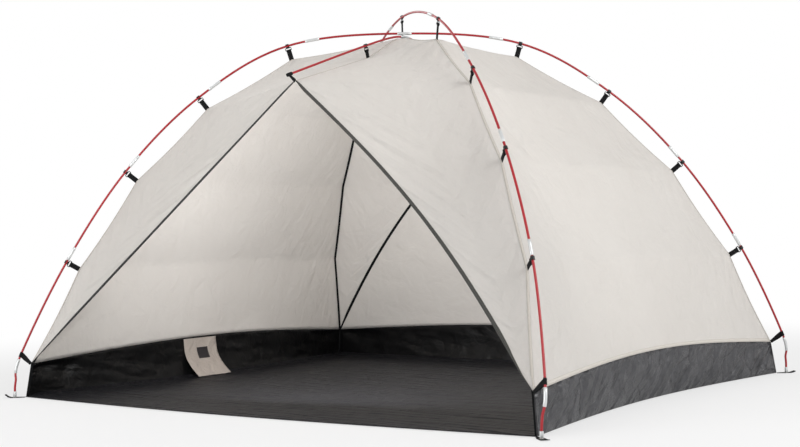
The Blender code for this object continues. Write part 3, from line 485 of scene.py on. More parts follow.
        through = addNode(tree, "ShaderNodeBsdfTranslucent", {},
                          {"Color": colour, "Normal": bump.outputs["Normal"]})
        both = addNode(tree, "ShaderNodeMixShader", {0: look["through"]},
                       {1: shader.outputs[0], 2: through.outputs[0]})
        tree.links.new(both.outputs[0], tree.nodes["Material Output"].inputs["Surface"])
    return material


# Hard finishes: a base colour that drifts a little, fine scratches or grain, and its gloss
def hardFinish(name, look):
    material = bpy.data.materials.new(name)
    material.use_nodes = True
    tree = material.node_tree
    shader = tree.nodes["Principled BSDF"]
    shader.inputs["Metallic"].default_value = look.get("metallic", 0.0)
    shader.inputs["Coat Weight"].default_value = look.get("coat", 0.0)
    coords = addNode(tree, "ShaderNodeTexCoord")
    drift = addNode(tree, "ShaderNodeTexNoise", {"Scale": 1000 / look["patchSize"], "Detail": 3.0},
                    {"Vector": coords.outputs["Object"]})
    colour = addNode(tree, "ShaderNodeMix", {"data_type": "RGBA", 6: toLinear(look["colour"]),
                                             7: toLinear(look["shade"])},
                     {0: drift.outputs["Fac"]})
    grain = addNode(tree, "ShaderNodeTexNoise", {"Scale": 1000 / look["grain"], "Detail": 2.0},
                    {"Vector": coords.outputs["Object"]})
    gloss = addNode(tree, "ShaderNodeMapRange",
                    {"To Min": look["roughness"][0], "To Max": look["roughness"][1]},
                    {"Value": grain.outputs["Fac"]})
    bump = addNode(tree, "ShaderNodeBump", {"Strength": look["bump"], "Distance": 0.0002},
                   {"Height": grain.outputs["Fac"]})
    tree.links.new(colour.outputs[2], shader.inputs["Base Color"])
    tree.links.new(gloss.outputs[0], shader.inputs["Roughness"])
    tree.links.new(bump.outputs["Normal"], shader.inputs["Normal"])
    return material


# Polyester taffeta, plain woven and proofed: matt and pale, and thin enough to let daylight
# through to the inside
taffetaOutside = wovenCloth("polyesterTaffeta", {
    "colour": "#EBE8E4", "shade": "#E3DFDA", "roughness": 0.72, "sheen": 0.1, "thread": 1.4,
    "patchSize": 400, "weave": 0.12, "crinkle": (85, 9.0), "pulls": (52, 240, 15.0, 32, 560),
    "through": 0.34})
taffetaInside = wovenCloth("polyesterTaffetaInside", {
    "colour": "#F1EEEA", "shade": "#EBE7E3", "roughness": 0.78, "sheen": 0.05, "thread": 1.4,
    "patchSize": 400, "weave": 0.12, "crinkle": (85, 8.0), "pulls": (46, 240, 9.0, 32, 560),
    "through": 0.38})
# The same taffeta folded on itself and stitched down along the seams and hems: less light
# comes through its layers, so it looks a little darker
taffetaSeam = wovenCloth("stitchedTaffeta", {
    "colour": "#D2CDC5", "shade": "#C9C3BA", "roughness": 0.75, "sheen": 0.1, "thread": 1.4,
    "patchSize": 90, "weave": 0.2, "stitches": (1.8, 4.6), "threadColour": "#A39D93"})
# Oxford cloth with a polyurethane coat: grey with a low gloss and fine slanting creases
# outside, near black and duller inside. Outside, its dark patches are partly its own mottled
# tone and partly painted shade for its crinkles, and its sharpest creases hold painted shade.
oxfordOutside = wovenCloth("coatedOxford", {
    "colour": "#545457", "shade": "#252528", "roughness": 0.27, "thread": 2.0,
    "patchSize": 60, "weave": 0.25, "crinkle": (28, 9.0), "pulls": (80, 230, 19.0, 56, 9000),
    "facets": (200, 62, 30.0, -34), "creaseShadeColour": "#1C1C1F"})
oxfordInside = wovenCloth("coatedOxfordInside", {
    "colour": "#101011", "shade": "#09090A", "roughness": 0.42, "shine": 0.22, "thread": 2.0,
    "patchSize": 130, "weave": 0.3, "crinkle": (70, 9.0), "pulls": (260, 44, 12.0, 8, 9000)})
# Woven polyethylene floor: flat tapes that give it a faint grid, and creases from its folding
floorWeave = wovenCloth("wovenPolyethylene", {
    "colour": "#29292C", "shade": "#1F1F22", "roughness": 0.48, "shine": 0.10, "thread": 3.0,
    "patchSize": 220, "weave": 0.6, "crinkle": (60, 9.0), "pulls": (320, 40, 22.0, 4, 9000)})
# Grosgrain binding folded over the doorway's edge, ribbed across, with stitched lines
grosgrain = wovenCloth("grosgrainTape", {
    "colour": "#454440", "shade": "#3A3936", "roughness": 0.85, "sheen": 0.1, "thread": 1.6,
    "patchSize": 60, "weave": 0.7, "stitches": (3.2, 8.2, 13.5), "threadColour": "#6A6964"})
# The same tape with painted shade: darker for the left edge of the doorway, whose inner side shows,
# in shade
grosgrainPaintedShade = wovenCloth("grosgrainTapePaintedShade", {
    "colour": "#252525", "shade": "#1C1C1C", "roughness": 0.85, "sheen": 0.1, "thread": 1.6,
    "patchSize": 60, "weave": 0.7, "stitches": (3.2, 8.2, 13.5), "threadColour": "#444444"})
# Polyester webbing and seam binding: black, coarse ribs, hardly any gloss
webbing = wovenCloth("polyesterWebbing", {
    "colour": "#18191B", "shade": "#0F1011", "roughness": 0.85, "shine": 0.2, "thread": 1.8,
    "patchSize": 40, "weave": 0.9, "stitches": (3.0,), "threadColour": "#2A2B2D"})
# Taffeta in a greyer shade, softly dented, with a stitched hem
flapCloth = wovenCloth("flapTaffeta", {
    "colour": "#B7ADA5", "shade": "#A89E96", "roughness": 0.8, "sheen": 0.1, "thread": 1.4,
    "patchSize": 60, "weave": 0.2, "crinkle": (50, 16.0),
    "stitches": (2.0,), "threadColour": "#CFC8C1"})
# A plain woven tab, dense and smooth
wovenTab = wovenCloth("wovenTab", {
    "colour": "#2B2729", "shade": "#242023", "roughness": 0.8, "thread": 1.0,
    "patchSize": 30, "weave": 0.4, "stitches": (2.0,), "threadColour": "#6A6466"})
# Pultruded fibreglass with a coloured resin skin: smooth and glossy, faint streaks
fibreglass = hardFinish("pultrudedFibreglass", {
    "colour": "#B21B26", "shade": "#A01721", "roughness": (0.26, 0.38), "patchSize": 70,
    "grain": 2.5, "bump": 0.05, "coat": 0.1})
# Aluminium tube, drawn and lightly worn: pale, satin
drawnAluminium = hardFinish("drawnAluminium", {
    "colour": "#E6E8E8", "shade": "#DADCDC", "roughness": (0.30, 0.44), "patchSize": 30,
    "grain": 0.8, "bump": 0.12, "metallic": 0.5})
# Moulded nylon clip: black, satin, with a fine moulded grain
mouldedNylon = hardFinish("mouldedNylon", {
    "colour": "#17181A", "shade": "#101112", "roughness": (0.36, 0.52), "patchSize": 12,
    "grain": 0.7, "bump": 0.2})
# Nickelled brass eyelet: bright and smooth
nickel = hardFinish("nickelledBrass", {
    "colour": "#C9C8C4", "shade": "#B9B8B3", "roughness": (0.2, 0.32), "patchSize": 6,
    "grain": 0.6, "bump": 0.08, "metallic": 1.0})
print("materials: cloths, tapes, rod, metal and plastic are ready")

# Camera at the photograph's place
cameraView = {"place": (3.090, -4.422, 0.593), "yaw": 0.616, "pitch": -0.008, "roll": -0.021,
              "lens": 61.6, "sensor": 36.0, "farthest": 200}
yaw, pitch, roll = cameraView["yaw"], cameraView["pitch"], cameraView["roll"]
forward = Vector((-math.sin(yaw) * math.cos(pitch), math.cos(yaw) * math.cos(pitch),
                  -math.sin(pitch)))
level = Vector((math.cos(yaw), math.sin(yaw), 0))
overhead = level.cross(forward)
rightward = level * math.cos(roll) + overhead * math.sin(roll)
upward = overhead * math.cos(roll) - level * math.sin(roll)
camera = bpy.data.objects.new("camera", bpy.data.cameras.new("camera"))
bpy.context.scene.collection.objects.link(camera)
camera.matrix_world = (Matrix.Translation(Vector(cameraView["place"]))
                       @ Matrix((rightward, upward, -forward)).transposed().to_4x4())
camera.data.lens = cameraView["lens"]
camera.data.sensor_width = cameraView["sensor"]
camera.data.clip_end = cameraView["farthest"]
bpy.context.scene.camera = camera

# Canopy: one sheet over the whole tent
canopyCut = {
    "rowsPerStep": 8,
    "sideColumns": 84,
    "roofColumns": 40,
    "rearColumns": 60,
    "thickness": 0.0008,
    "seamFold": 0.006,          # cloth turned back along a seam
    "doorEdge": 0.0075,         # how far the cloth goes into the binding
    "bindingHalf": 0.009,
    "freeReach": 0.070,         # folds fade over this distance from a seam
    "unevenness": ((0.42, 0.0050), (0.16, 0.0022), (0.055, 0.0007)),
    "stepRun": 0.13,            # cloth from one step of a seam to the next
    "seamLift": 0.0007,
    "seamThickness": 0.0008,
    "tapeLift": -0.0011,        # the tape of the rear seams lies inside
    "tapeThickness": 0.0012,
    "bindingTurn": 0.0012,      # how far the binding's rim goes past the cloth
    "bindingThickness": 0.0026,
    "bindingEnds": (0.4, 0.5),  # it narrows over these parts of a step, at its two ends
    "bindingStops": 60,
    "crownRun": 0.1,
    "foldShare": 0.15,          # a seam fold takes at most this share of a panel's width
    "hemPower": 6,              # the higher, the nearer to the hem the panels curve in
}
rowStops = [-1.0] + [row / canopyCut["rowsPerStep"]
                     for row in range(lastStep * canopyCut["rowsPerStep"] + 1)]
apexRow = rowStops.index(float(apexStep))


def columnReach(column, columns, width, first, last):
    most = width * canopyCut["foldShare"]
    first, last = min(first, most), min(last, most)
    if column == 0:
        return 0.0
    if column == columns:
        return width
    return mix(first, width - last, (column - 1) / (columns - 2))


def freeAt(edge, step):
    hem = (lastStep - step) * canopyCut["stepRun"]
    crown = max(step, 0) * canopyCut["crownRun"]
    return smooth(min(edge, hem, crown) / canopyCut["freeReach"])


def sidePoint(sideX, step, share):
    front, rear = ("front_left", "rear_left") if sideX < 0 else ("front_right", "rear_right")
    start, end = onDiagonal(front, seamAt(front, step)), onDiagonal(rear, seamAt(rear, step))
    reached = max(step, 0) / lastStep
    swell = math.sin(math.pi * share)
    hem = reached ** canopyCut["hemPower"]
    middleIn = mix(tent["sideSag"] * math.sin(math.pi * reached), tent["wallTopBow"], hem)
    return (mix(start, end, share)
            + Vector((-sideX * middleIn * swell, 0, tent["wallRise"] * hem * swell)))


def sideSpot(sideX, row, column):
    step = rowStops[row]
    width = (sidePoint(sideX, step, 0) - sidePoint(sideX, step, 1)).length
    reach = columnReach(column, canopyCut["sideColumns"], width, canopyCut["seamFold"],
                        canopyCut["seamFold"])
    share = reach / width if width > 1e-6 else column / canopyCut["sideColumns"]
    edge = min(reach, width - reach)
    return sidePoint(sideX, step, share), (edge, step * canopyCut["stepRun"]), freeAt(edge, step)


def roofEnd(corner, step):
    sideX, sideY = corners[corner]
    if step <= apexStep:
        return ridgeAt(sideY, step), canopyCut["seamFold"]
    leg, bow = legAt(sideX, sideY, (step - apexStep) / (lastStep - apexStep))
    if sideY > 0:
        return leg, canopyCut["bindingHalf"]
    top, bottom = canopyCut["bindingEnds"]
    reach = (canopyCut["doorEdge"] * smooth((step - apexStep) / top)
             * smooth((lastStep - step) / bottom))
    return leg - bow * reach, reach + canopyCut["bindingHalf"]


def roofPoint(corner, step, share):
    start = onDiagonal(corner, seamAt(corner, step))
    end = roofEnd(corner, step)[0]
    sag = tent["roofSag"] * math.sin(math.pi * max(step, 0) / lastStep)
    return mix(start, end, share) - Vector((0, 0, sag * math.sin(math.pi * share)))


def roofSpot(corner, row, column):
    step = rowStops[row]
    start, (end, edgeWidth) = onDiagonal(corner, seamAt(corner, step)), roofEnd(corner, step)
    width = (end - start).length
    reach = columnReach(column, canopyCut["roofColumns"], width, canopyCut["seamFold"], edgeWidth)
    share = reach / width if width > 1e-6 else column / canopyCut["roofColumns"]
    edge = min(reach, width - reach)
    return roofPoint(corner, step, share), (edge, step * canopyCut["stepRun"]), freeAt(edge, step)


def rearPoint(share, across):
    legs = [legAt(sideX, 1, share)[0] for sideX in (-1, 1)]
    hem = share ** canopyCut["hemPower"]
    swell = math.sin(math.pi * across)
    middleIn = mix(tent["rearSag"] * math.sin(math.pi * share), tent["rearTopBow"], hem)
    return mix(legs[0], legs[1], across) + Vector((0, -middleIn * swell,
                                                   tent["wallRise"] * hem * swell))


def rearSpot(row, column):
    step = rowStops[apexRow + row]
    share = (step - apexStep) / (lastStep - apexStep)
    width = (rearPoint(share, 0) - rearPoint(share, 1)).length
    reach = columnReach(column, canopyCut["rearColumns"], width, canopyCut["bindingHalf"],
                        canopyCut["bindingHalf"])
    across = reach / width if width > 1e-6 else column / canopyCut["rearColumns"]
    edge = min(reach, width - reach)
    return rearPoint(share, across), (edge, step * canopyCut["stepRun"]), freeAt(edge, step)


# Strips of the canopy that other pieces are made from, by number
arcSeam, ridgeSeam, doorEdge, rearEdge, hemEdge = 1, 2, 3, 4, 5
hemRow = len(rowStops) - 2


def sideStrip(row, column):
    if row < 1:
        return 0
    if column in (0, canopyCut["sideColumns"] - 1):
        return arcSeam
    return hemEdge if row == hemRow else 0


def roofStrip(corner, row, column):
    if row < 1:
        return 0
    if column == 0:
        return arcSeam
    if column < canopyCut["roofColumns"] - 1:
        return 0
    if row < apexRow:
        return ridgeSeam
    return doorEdge if corners[corner][1] < 0 else rearEdge


def rearStrip(row, column):
    if column in (0, canopyCut["rearColumns"] - 1):
        return rearEdge
    return hemEdge if apexRow + row == hemRow else 0


# Folds of the canopy: they spread from the straps and from the wall's corners, and pucker at
# the hems
def canopyFolds():
    chance = random.Random(11)
    folds = []
    for sideX in (-1, 1):
        for corner, near in ((("front_left", 0), ("rear_left", 1)) if sideX < 0
                             else (("front_right", 0), ("rear_right", 1))):
            inward = 1 - 2 * near
            for step, far in ((14.9, 0.34), (14.9, 0.24), (14.8, 0.15), (14.6, 0.09)):
                end = sidePoint(sideX, 12.9 - far * 8 * chance.uniform(0.5, 1), near + inward * far)
                folds.append(makeFold(sidePoint(sideX, step, near + inward * 0.01), end,
                                      chance.uniform(0.012, 0.020), chance.uniform(0.003, 0.005)))
            for root in (3, 6, 9, 12):
                for drift in (-1.1, 0.25, 1.3):
                    end = sidePoint(sideX, root + drift * chance.uniform(0.7, 1.2),
                                    near + inward * chance.uniform(0.16, 0.30))
                    start = sidePoint(sideX, root, near + inward * 0.005)
                    folds.append(makeFold(start, end, chance.uniform(0.010, 0.018),
                                          chance.uniform(0.0015, 0.003)))
        for place in range(40):
            share = (place + chance.uniform(0.2, 0.8)) / 40
            folds.append(makeFold(sidePoint(sideX, 15, share),
                                  sidePoint(sideX, 15 - chance.uniform(0.5, 1.3),
                                            share + chance.uniform(-0.02, 0.02)),
                                  chance.uniform(0.007, 0.011), chance.uniform(0.0008, 0.0022)))
    for corner in corners:
        for root in (3, 6, 9, 12):
            for drift in (-0.9, 0.4, 1.5):
                end = roofPoint(corner, max(root + drift * chance.uniform(0.7, 1.2), 1),
                                chance.uniform(0.35, 0.6))
                folds.append(makeFold(roofPoint(corner, root, 0.01), end,
                                      chance.uniform(0.010, 0.016), chance.uniform(0.0015, 0.003)))
        for place in range(7):
            step = 2.2 + place * 0.55
            folds.append(makeFold(roofPoint(corner, step, 0.96),
                                  roofPoint(corner, step + chance.uniform(1.2, 2.6),
                                            chance.uniform(0.30, 0.55)),
                                  chance.uniform(0.012, 0.020), chance.uniform(0.0015, 0.0032)))
        for place in range(12):
            step = 6.6 + place * 0.62
            folds.append(makeFold(roofPoint(corner, step, 0.97),
                                  roofPoint(corner, step + chance.uniform(-0.5, 0.8),
                                            chance.uniform(0.55, 0.75)),
                                  chance.uniform(0.008, 0.014), chance.uniform(0.001, 0.002)))
    for place in range(30):
        across = (place + chance.uniform(0.2, 0.8)) / 30
        folds.append(makeFold(rearPoint(1, across), rearPoint(chance.uniform(0.86, 0.93), across),
                              chance.uniform(0.008, 0.012), chance.uniform(0.001, 0.002)))
    return folds


def buildCanopy():
    work = bmesh.new()
    rows = len(rowStops) - 1
    for sideX in (-1, 1):
        layGrid(work, rows, canopyCut["sideColumns"],
                lambda row, column: sideSpot(sideX, row, column), sideStrip)
    for corner in corners:
        layGrid(work, rows, canopyCut["roofColumns"],
                lambda row, column: roofSpot(corner, row, column),
                lambda row, column: roofStrip(corner, row, column))
    layGrid(work, rows - apexRow, canopyCut["rearColumns"], rearSpot, rearStrip)
    bmesh.ops.remove_doubles(work, verts=work.verts, dist=0.00005)
    bmesh.ops.dissolve_degenerate(work, edges=work.edges, dist=0.00002)
    turnOutward(work, lambda point: point - Vector((0, 0, 0.3)))
    crease(work, canopyFolds(), canopyCut["unevenness"])
    return work


# A strip lifted off the canopy, to be thickened into a seam fold, a hem, a tape or a binding
def liftStrip(source, kinds, lift, keep=None):
    work = source.copy()
    layer = work.faces.layers.int["strip"]
    work.normal_update()
    lifts = {vert: vert.normal * lift for vert in work.verts}
    gone = [face for face in work.faces
            if face[layer] not in kinds or (keep and not keep(face.calc_center_median()))]
    bmesh.ops.delete(work, geom=gone, context="FACES")
    for vert in work.verts:
        vert.co += lifts[vert]
    return work


canopyWork = buildCanopy()
extras = []
seamWork = liftStrip(canopyWork, (arcSeam, ridgeSeam, rearEdge), canopyCut["seamLift"])
seamFolds = newPiece("seamFolds", seamWork, [taffetaSeam])
thicken(seamFolds, canopyCut["seamThickness"])
hemFold = newPiece("canopyHem", liftStrip(canopyWork, (hemEdge,), canopyCut["seamLift"]),
                   [taffetaSeam])
thicken(hemFold, canopyCut["seamThickness"])
rearTape = newPiece("rearSeamTape", liftStrip(canopyWork, (rearEdge,), canopyCut["tapeLift"]),
                    [webbing])
thicken(rearTape, canopyCut["tapeThickness"])
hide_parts("rear_binding_left", "rear_binding_right")
extras += [seamFolds, hemFold, rearTape]
for sideName, sideX in (("left", -1), ("right", 1)):
    bindingWork = liftStrip(canopyWork, (doorEdge,), 0.0, lambda point: point.x * sideX > 0)
    bow = legAt(sideX, -1, 0.5)[1]
    stops = canopyCut["bindingStops"]
    for vert in bindingWork.verts:
        if vert.is_boundary and len(vert.link_faces) and vert.co.y < 0:
            nearest = min((legAt(sideX, -1, place / stops)[0] for place in range(stops + 1)),
                          key=lambda point: (point - vert.co).length)
            if (vert.co - nearest).dot(bow) < 0:
                vert.co -= bow * canopyCut["bindingTurn"]
    # The left binding takes the copy of the tape with painted shade
    binding = newPiece("doorBinding" + sideName.capitalize(), bindingWork,
                       [grosgrainPaintedShade if sideName == "left" else grosgrain])
    thicken(binding, canopyCut["bindingThickness"])
    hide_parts("door_binding_" + sideName)
    extras.append(binding)
canopy = newPiece("canopySheet", canopyWork, [taffetaOutside, taffetaInside])
thicken(canopy, canopyCut["thickness"], 0.0, 1)
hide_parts("canopy_side_left", "canopy_side_right", "canopy_rear_wall",
            *["canopy_roof_" + corner for corner in corners])
print("canopy: sheet, seams, hems and bindings are sewn")

# Bathtub walls and floor
tubCut = {
    "columns": 110,
    "rows": 18,
    "footTurn": 0.004,           # the wall's foot curves in a little
    "turnRise": 0.15,
    "rimTurn": 0.034,            # the floor's rim curves up inside the wall, this wide
    "rimRise": 0.013,
    "rimIn": 0.006,
    "flats": {"left": ((1.95, 0.165), 0.312), "right": ((1.95, 0.165), 0.312),
              "rear": ((2.25, 0.165), 0.356)},
    "floorFlat": ((2.24, 1.97), 4.14),
    "thickness": 0.0008,
    "unevenness": ((0.11, 0.0045), (0.045, 0.0022), (0.018, 0.0006)),
    "floorColumns": 120,
    "floorRows": 100,
    "floorUnevenness": ((0.16, 0.0028), (0.05, 0.0012)),
    "wallRun": 2.1,              # a wall's rounded length and height, for its weave and folds
    "wallHeight": 0.14,
    "rowSpread": 1.3,            # rows lie closer together near the foot
    "endReach": 0.03,            # creases fade over these distances from the ends and hems
    "hemReach": 0.022,
    "flapShares": (0.36, 0.54),  # the stretch of the left wall behind the flap
    "flapFree": 0.35,
    "turnReach": 0.06,
    "footDrop": 0.0018,
    "dropRise": 0.1,
    "leastHeight": 0.0012,
    "floorWidth": 2.2,
    "floorDepth": 1.9,
    "floorLift": 0.0022,
    "floorThickness": 0.0014,
    "frontReach": 0.03,
    "floorReach": 0.05,
    "creaseStretch": 3.2,        # the floor's creases are this much longer across the tent
    "creaseSharp": 2.4,
}


def wallFolds(wall):
    chance = random.Random(23)
    folds = []
    for near in (0, 1):
        inward = 1 - 2 * near
        for rise, far in ((0.95, 0.10), (0.6, 0.14), (0.3, 0.17), (0.8, 0.20), (0.1, 0.12)):
            folds.append(makeFold(wallPoint(wall, near + inward * 0.004, 0.97),
                                  wallPoint(wall, near + inward * far, rise * 0.8),
                                  chance.uniform(0.013, 0.020), chance.uniform(0.004, 0.007)))
    for place in range(30):
        share = (place + chance.uniform(0.1, 0.9)) / 30
        down = chance.random() < 0.5
        start = wallPoint(wall, share, 0.02 if down else 0.98)
        end = wallPoint(wall, min(max(share + chance.uniform(-0.07, 0.07), 0), 1),
                        chance.uniform(0.4, 0.85) if down else chance.uniform(0.2, 0.6))
        folds.append(makeFold(start, end, chance.uniform(0.013, 0.024),
                              chance.choice((-1, 1)) * chance.uniform(0.003, 0.006)))
    return folds


def wallSpot(wall, row, column):
    share, rise = column / tubCut["columns"], (row / tubCut["rows"]) ** tubCut["rowSpread"]
    long = share * tubCut["wallRun"]
    edge = min(long, tubCut["wallRun"] - long)
    high = min(rise, 1 - rise) * tubCut["wallHeight"]
    free = smooth(edge / tubCut["endReach"]) * smooth(high / tubCut["hemReach"])
    if wall == "left" and tubCut["flapShares"][0] < share < tubCut["flapShares"][1]:
        free *= tubCut["flapFree"]
    turned = smooth(edge / tubCut["turnReach"])
    turn = tubCut["footTurn"] * turned * max(1 - rise / tubCut["turnRise"], 0) ** 2
    place = wallPoint(wall, share, rise)
    place += Vector({"left": (1, 0, 0), "right": (-1, 0, 0), "rear": (0, -1, 0)}[wall]) * turn
    place.z -= tubCut["footDrop"] * max(1 - rise / tubCut["dropRise"], 0)
    return place, (long, rise * tubCut["wallHeight"]), free


def floorPoint(x, y):
    corner = onDiagonal("rear_right", floorCorner())
    swellX, swellY = math.sin(math.pi * x), math.sin(math.pi * y)
    front = -corner.y - tent["frontBow"] * swellX
    rear = corner.y - tent["rearBow"] * swellX
    half = corner.x - tent["sideBow"] * swellY
    return Vector((mix(-half, half, x), mix(front, rear, y), 0))


def floorSpot(row, column):
    x, y = column / tubCut["floorColumns"], row / tubCut["floorRows"]
    place = floorPoint(x, y)
    place.z = tubCut["floorLift"]
    for toEdge, inward in ((x * tubCut["floorWidth"], (1, 0)),
                           ((1 - x) * tubCut["floorWidth"], (-1, 0)),
                           ((1 - y) * tubCut["floorDepth"], (0, -1))):
        turn = (max(1 - toEdge / tubCut["rimTurn"], 0) ** 2
                * smooth(y / tubCut["frontReach"]))
        place.z = max(place.z, tubCut["floorLift"] + tubCut["rimRise"] * turn)
        if toEdge == 0:
            place += Vector((*inward, 0)) * tubCut["rimIn"] * turn
    edge = min(min(x, 1 - x) * tubCut["floorWidth"], min(y, 1 - y) * tubCut["floorDepth"])
    return place, (place.x, place.y), smooth(edge / tubCut["floorReach"])


for wall in ("left", "right", "rear"):
    work = bmesh.new()
    layGrid(work, tubCut["rows"], tubCut["columns"],
            lambda row, column: wallSpot(wall, row, column))
    outward = Vector({"left": (-1, 0, 0), "right": (1, 0, 0), "rear": (0, 1, 0)}[wall])
    turnOutward(work, lambda point: outward)
    crease(work, wallFolds(wall), tubCut["unevenness"])
    for vert in work.verts:
        vert.co.z = max(vert.co.z, tubCut["leastHeight"])
    piece = newPiece("bathtubWall" + wall.capitalize(), work, [oxfordOutside, oxfordInside])
    thicken(piece, tubCut["thickness"], 0.0, 1)
    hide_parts("bathtub_wall_" + wall)

work = bmesh.new()
layGrid(work, tubCut["floorRows"], tubCut["floorColumns"], floorSpot)
turnOutward(work, lambda point: Vector((0, 0, 1)))
freeLayer = work.verts.layers.float["free"]
for vert in work.verts:
    height = 0.0
    for size, depth in tubCut["floorUnevenness"]:
        spot = Vector((vert.co.x / (size * tubCut["creaseStretch"]), vert.co.y / size, 0))
        height += depth * (1 - abs(noise.noise(spot)) * tubCut["creaseSharp"])
    vert.co.z += max(height, 0) * vert[freeLayer]
floorSheet = newPiece("floorSheet", work, [floorWeave])
thicken(floorSheet, tubCut["floorThickness"])
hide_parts("groundsheet")
print("tub: walls and floor are laid")


# Poles: a red rod with pale ferrules over its joints
def archRoute(upper, parts):
    points = archPoints(upper)
    route = []
    for index in range(len(points) - 1):
        route += [splinePoint(points, index, part / parts) for part in range(parts)]
    return route + [points[-1]]


def runLengths(route):
    lengths = [0.0]
    for start, end in zip(route, route[1:]):
        lengths.append(lengths[-1] + (end - start).length)
    return lengths


def pointAtRun(route, lengths, distance):
    for index in range(len(route) - 1):
        if distance <= lengths[index + 1]:
            share = (distance - lengths[index]) / (lengths[index + 1] - lengths[index])
            return mix(route[index], route[index + 1], share)
    return route[-1]


def tubeCurve(name, points, radii, materials):
    data = bpy.data.curves.new(name, "CURVE")
    data.dimensions = "3D"
    data.bevel_depth = 1.0
    data.bevel_resolution = 6
    data.use_fill_caps = True
    for place, radius in zip(points, radii):
        spline = data.splines.new("POLY")
        spline.points.add(len(place) - 1)
        for knot, co, size in zip(spline.points, place, radius):
            knot.co = (*co, 1)
            knot.radius = size
        spline.use_smooth = True
    return placePiece(name, data, materials, "tent")


poleCut = {
    "ferruleRadius": 0.00575,
    "ferruleHalf": 0.028,
    "lip": 0.0007,
    "loopFerrule": -0.046,       # from the corner loop, along the rod
    "clipFerrules": (0.038, 0.055, 0.078, 0.100),
    "upperMiddle": -0.200,
    "endShare": 0.98,            # a ferrule's ends close just inside the rod
    "parts": 12,
    "ridgeParts": 40,
}


def buildPole(name, node, route, toWorld, centres):
    lengths = runLengths(route)
    tubeCurve(name, [[toWorld(point) for point in route]], [[rodRadius] * len(route)],
              [fibreglass])
    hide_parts(node)
    rings, sizes = [], []
    for centre in centres:
        half, lip, outer = poleCut["ferruleHalf"], poleCut["lip"], poleCut["ferruleRadius"]
        inner = rodRadius * poleCut["endShare"]
        stops = [(-half, inner), (-half, outer - lip), (-half + lip, outer), (-half / 2, outer),
                 (0, outer), (half / 2, outer), (half - lip, outer), (half, outer - lip),
                 (half, inner)]
        rings.append([toWorld(pointAtRun(route, lengths, centre + stop)) for stop, size in stops])
        sizes.append([size for stop, size in stops])
    return tubeCurve(name + "Ferrules", rings, sizes, [drawnAluminium])


for upper, corner, name in ((False, "rear_right", "Lower"), (True, "front_right", "Upper")):
    route = archRoute(upper, poleCut["parts"])
    lengths = runLengths(route)
    total = lengths[-1]
    leg = [lengths[2 * poleCut["parts"]] + poleCut["loopFerrule"]]
    leg += [lengths[(3 + clip) * poleCut["parts"]] + offset
            for clip, offset in enumerate(poleCut["clipFerrules"])]
    middle = total / 2 - (poleCut["upperMiddle"] if upper else 0)
    centres = leg + [middle] + [total - run for run in leg]
    buildPole("archPole" + name, "arch_pole_" + name.lower(), route,
              lambda point: onDiagonal(corner, point), centres)
parts = poleCut["ridgeParts"]
route = [ridgePoint(tent["ridgeHalf"] * place / parts) for place in range(-parts, parts + 1)]
buildPole("ridgePole", "ridge_pole", route, lambda point: Vector((0, point.x, point.y)),
          [runLengths(route)[-1] / 2])
print("poles: rods and ferrules are in place")

# Clips: an open ring over a slotted frame, the same on every pole. The values are in metres,
# in the clip's own axes: X along the rod, Z away from the tent, the origin on the rod.
clipCut = {
    "bore": rodRadius + 0.0003,
    "ringWall": 0.0027,
    "ringWidth": 0.013,
    "ringStart": -30.0,
    "ringSweep": 280.0,
    "ringParts": 22,
    "frameWidth": 0.0255,
    "frameTop": 0.0060,
    "shoulder": 0.0088,
    "slotTop": 0.0104,
    "barTop": 0.0160,
    "barBottom": 0.0185,
    "frameThickness": 0.0018,
    "slotHalf": 0.0103,
    "edge": 0.0004,
    "centreOffset": 0.030,      # the top clip's place, along the upper arch from its middle
    "centreStep": 0.020,
}


def plateWork(outline, axisU, axisV, thickness):
    work = bmesh.new()
    normal = axisU.cross(axisV).normalized()
    face = work.faces.new([work.verts.new(axisU * u + axisV * v - normal * thickness / 2)
                           for u, v in outline])
    grown = bmesh.ops.extrude_face_region(work, geom=[face])
    moved = [item for item in grown["geom"] if isinstance(item, bmesh.types.BMVert)]
    bmesh.ops.translate(work, verts=moved, vec=normal * thickness)
    bmesh.ops.recalc_face_normals(work, faces=work.faces)
    return work


# One solid from two, joined or cut by a Boolean
def joinWork(first, second, operation):
    parts = []
    for work in (first, second):
        mesh = bpy.data.meshes.new("part")
        work.to_mesh(mesh)
        work.free()
        parts.append(bpy.data.objects.new("part", mesh))
        bpy.context.scene.collection.objects.link(parts[-1])
    step = parts[0].modifiers.new("join", "BOOLEAN")
    step.operation, step.solver, step.object = operation, "EXACT", parts[1]
    made = bmesh.new()
    evaluated = parts[0].evaluated_get(bpy.context.evaluated_depsgraph_get())
    made.from_mesh(evaluated.to_mesh())
    for part in parts:
        bpy.data.objects.remove(part)
    return made


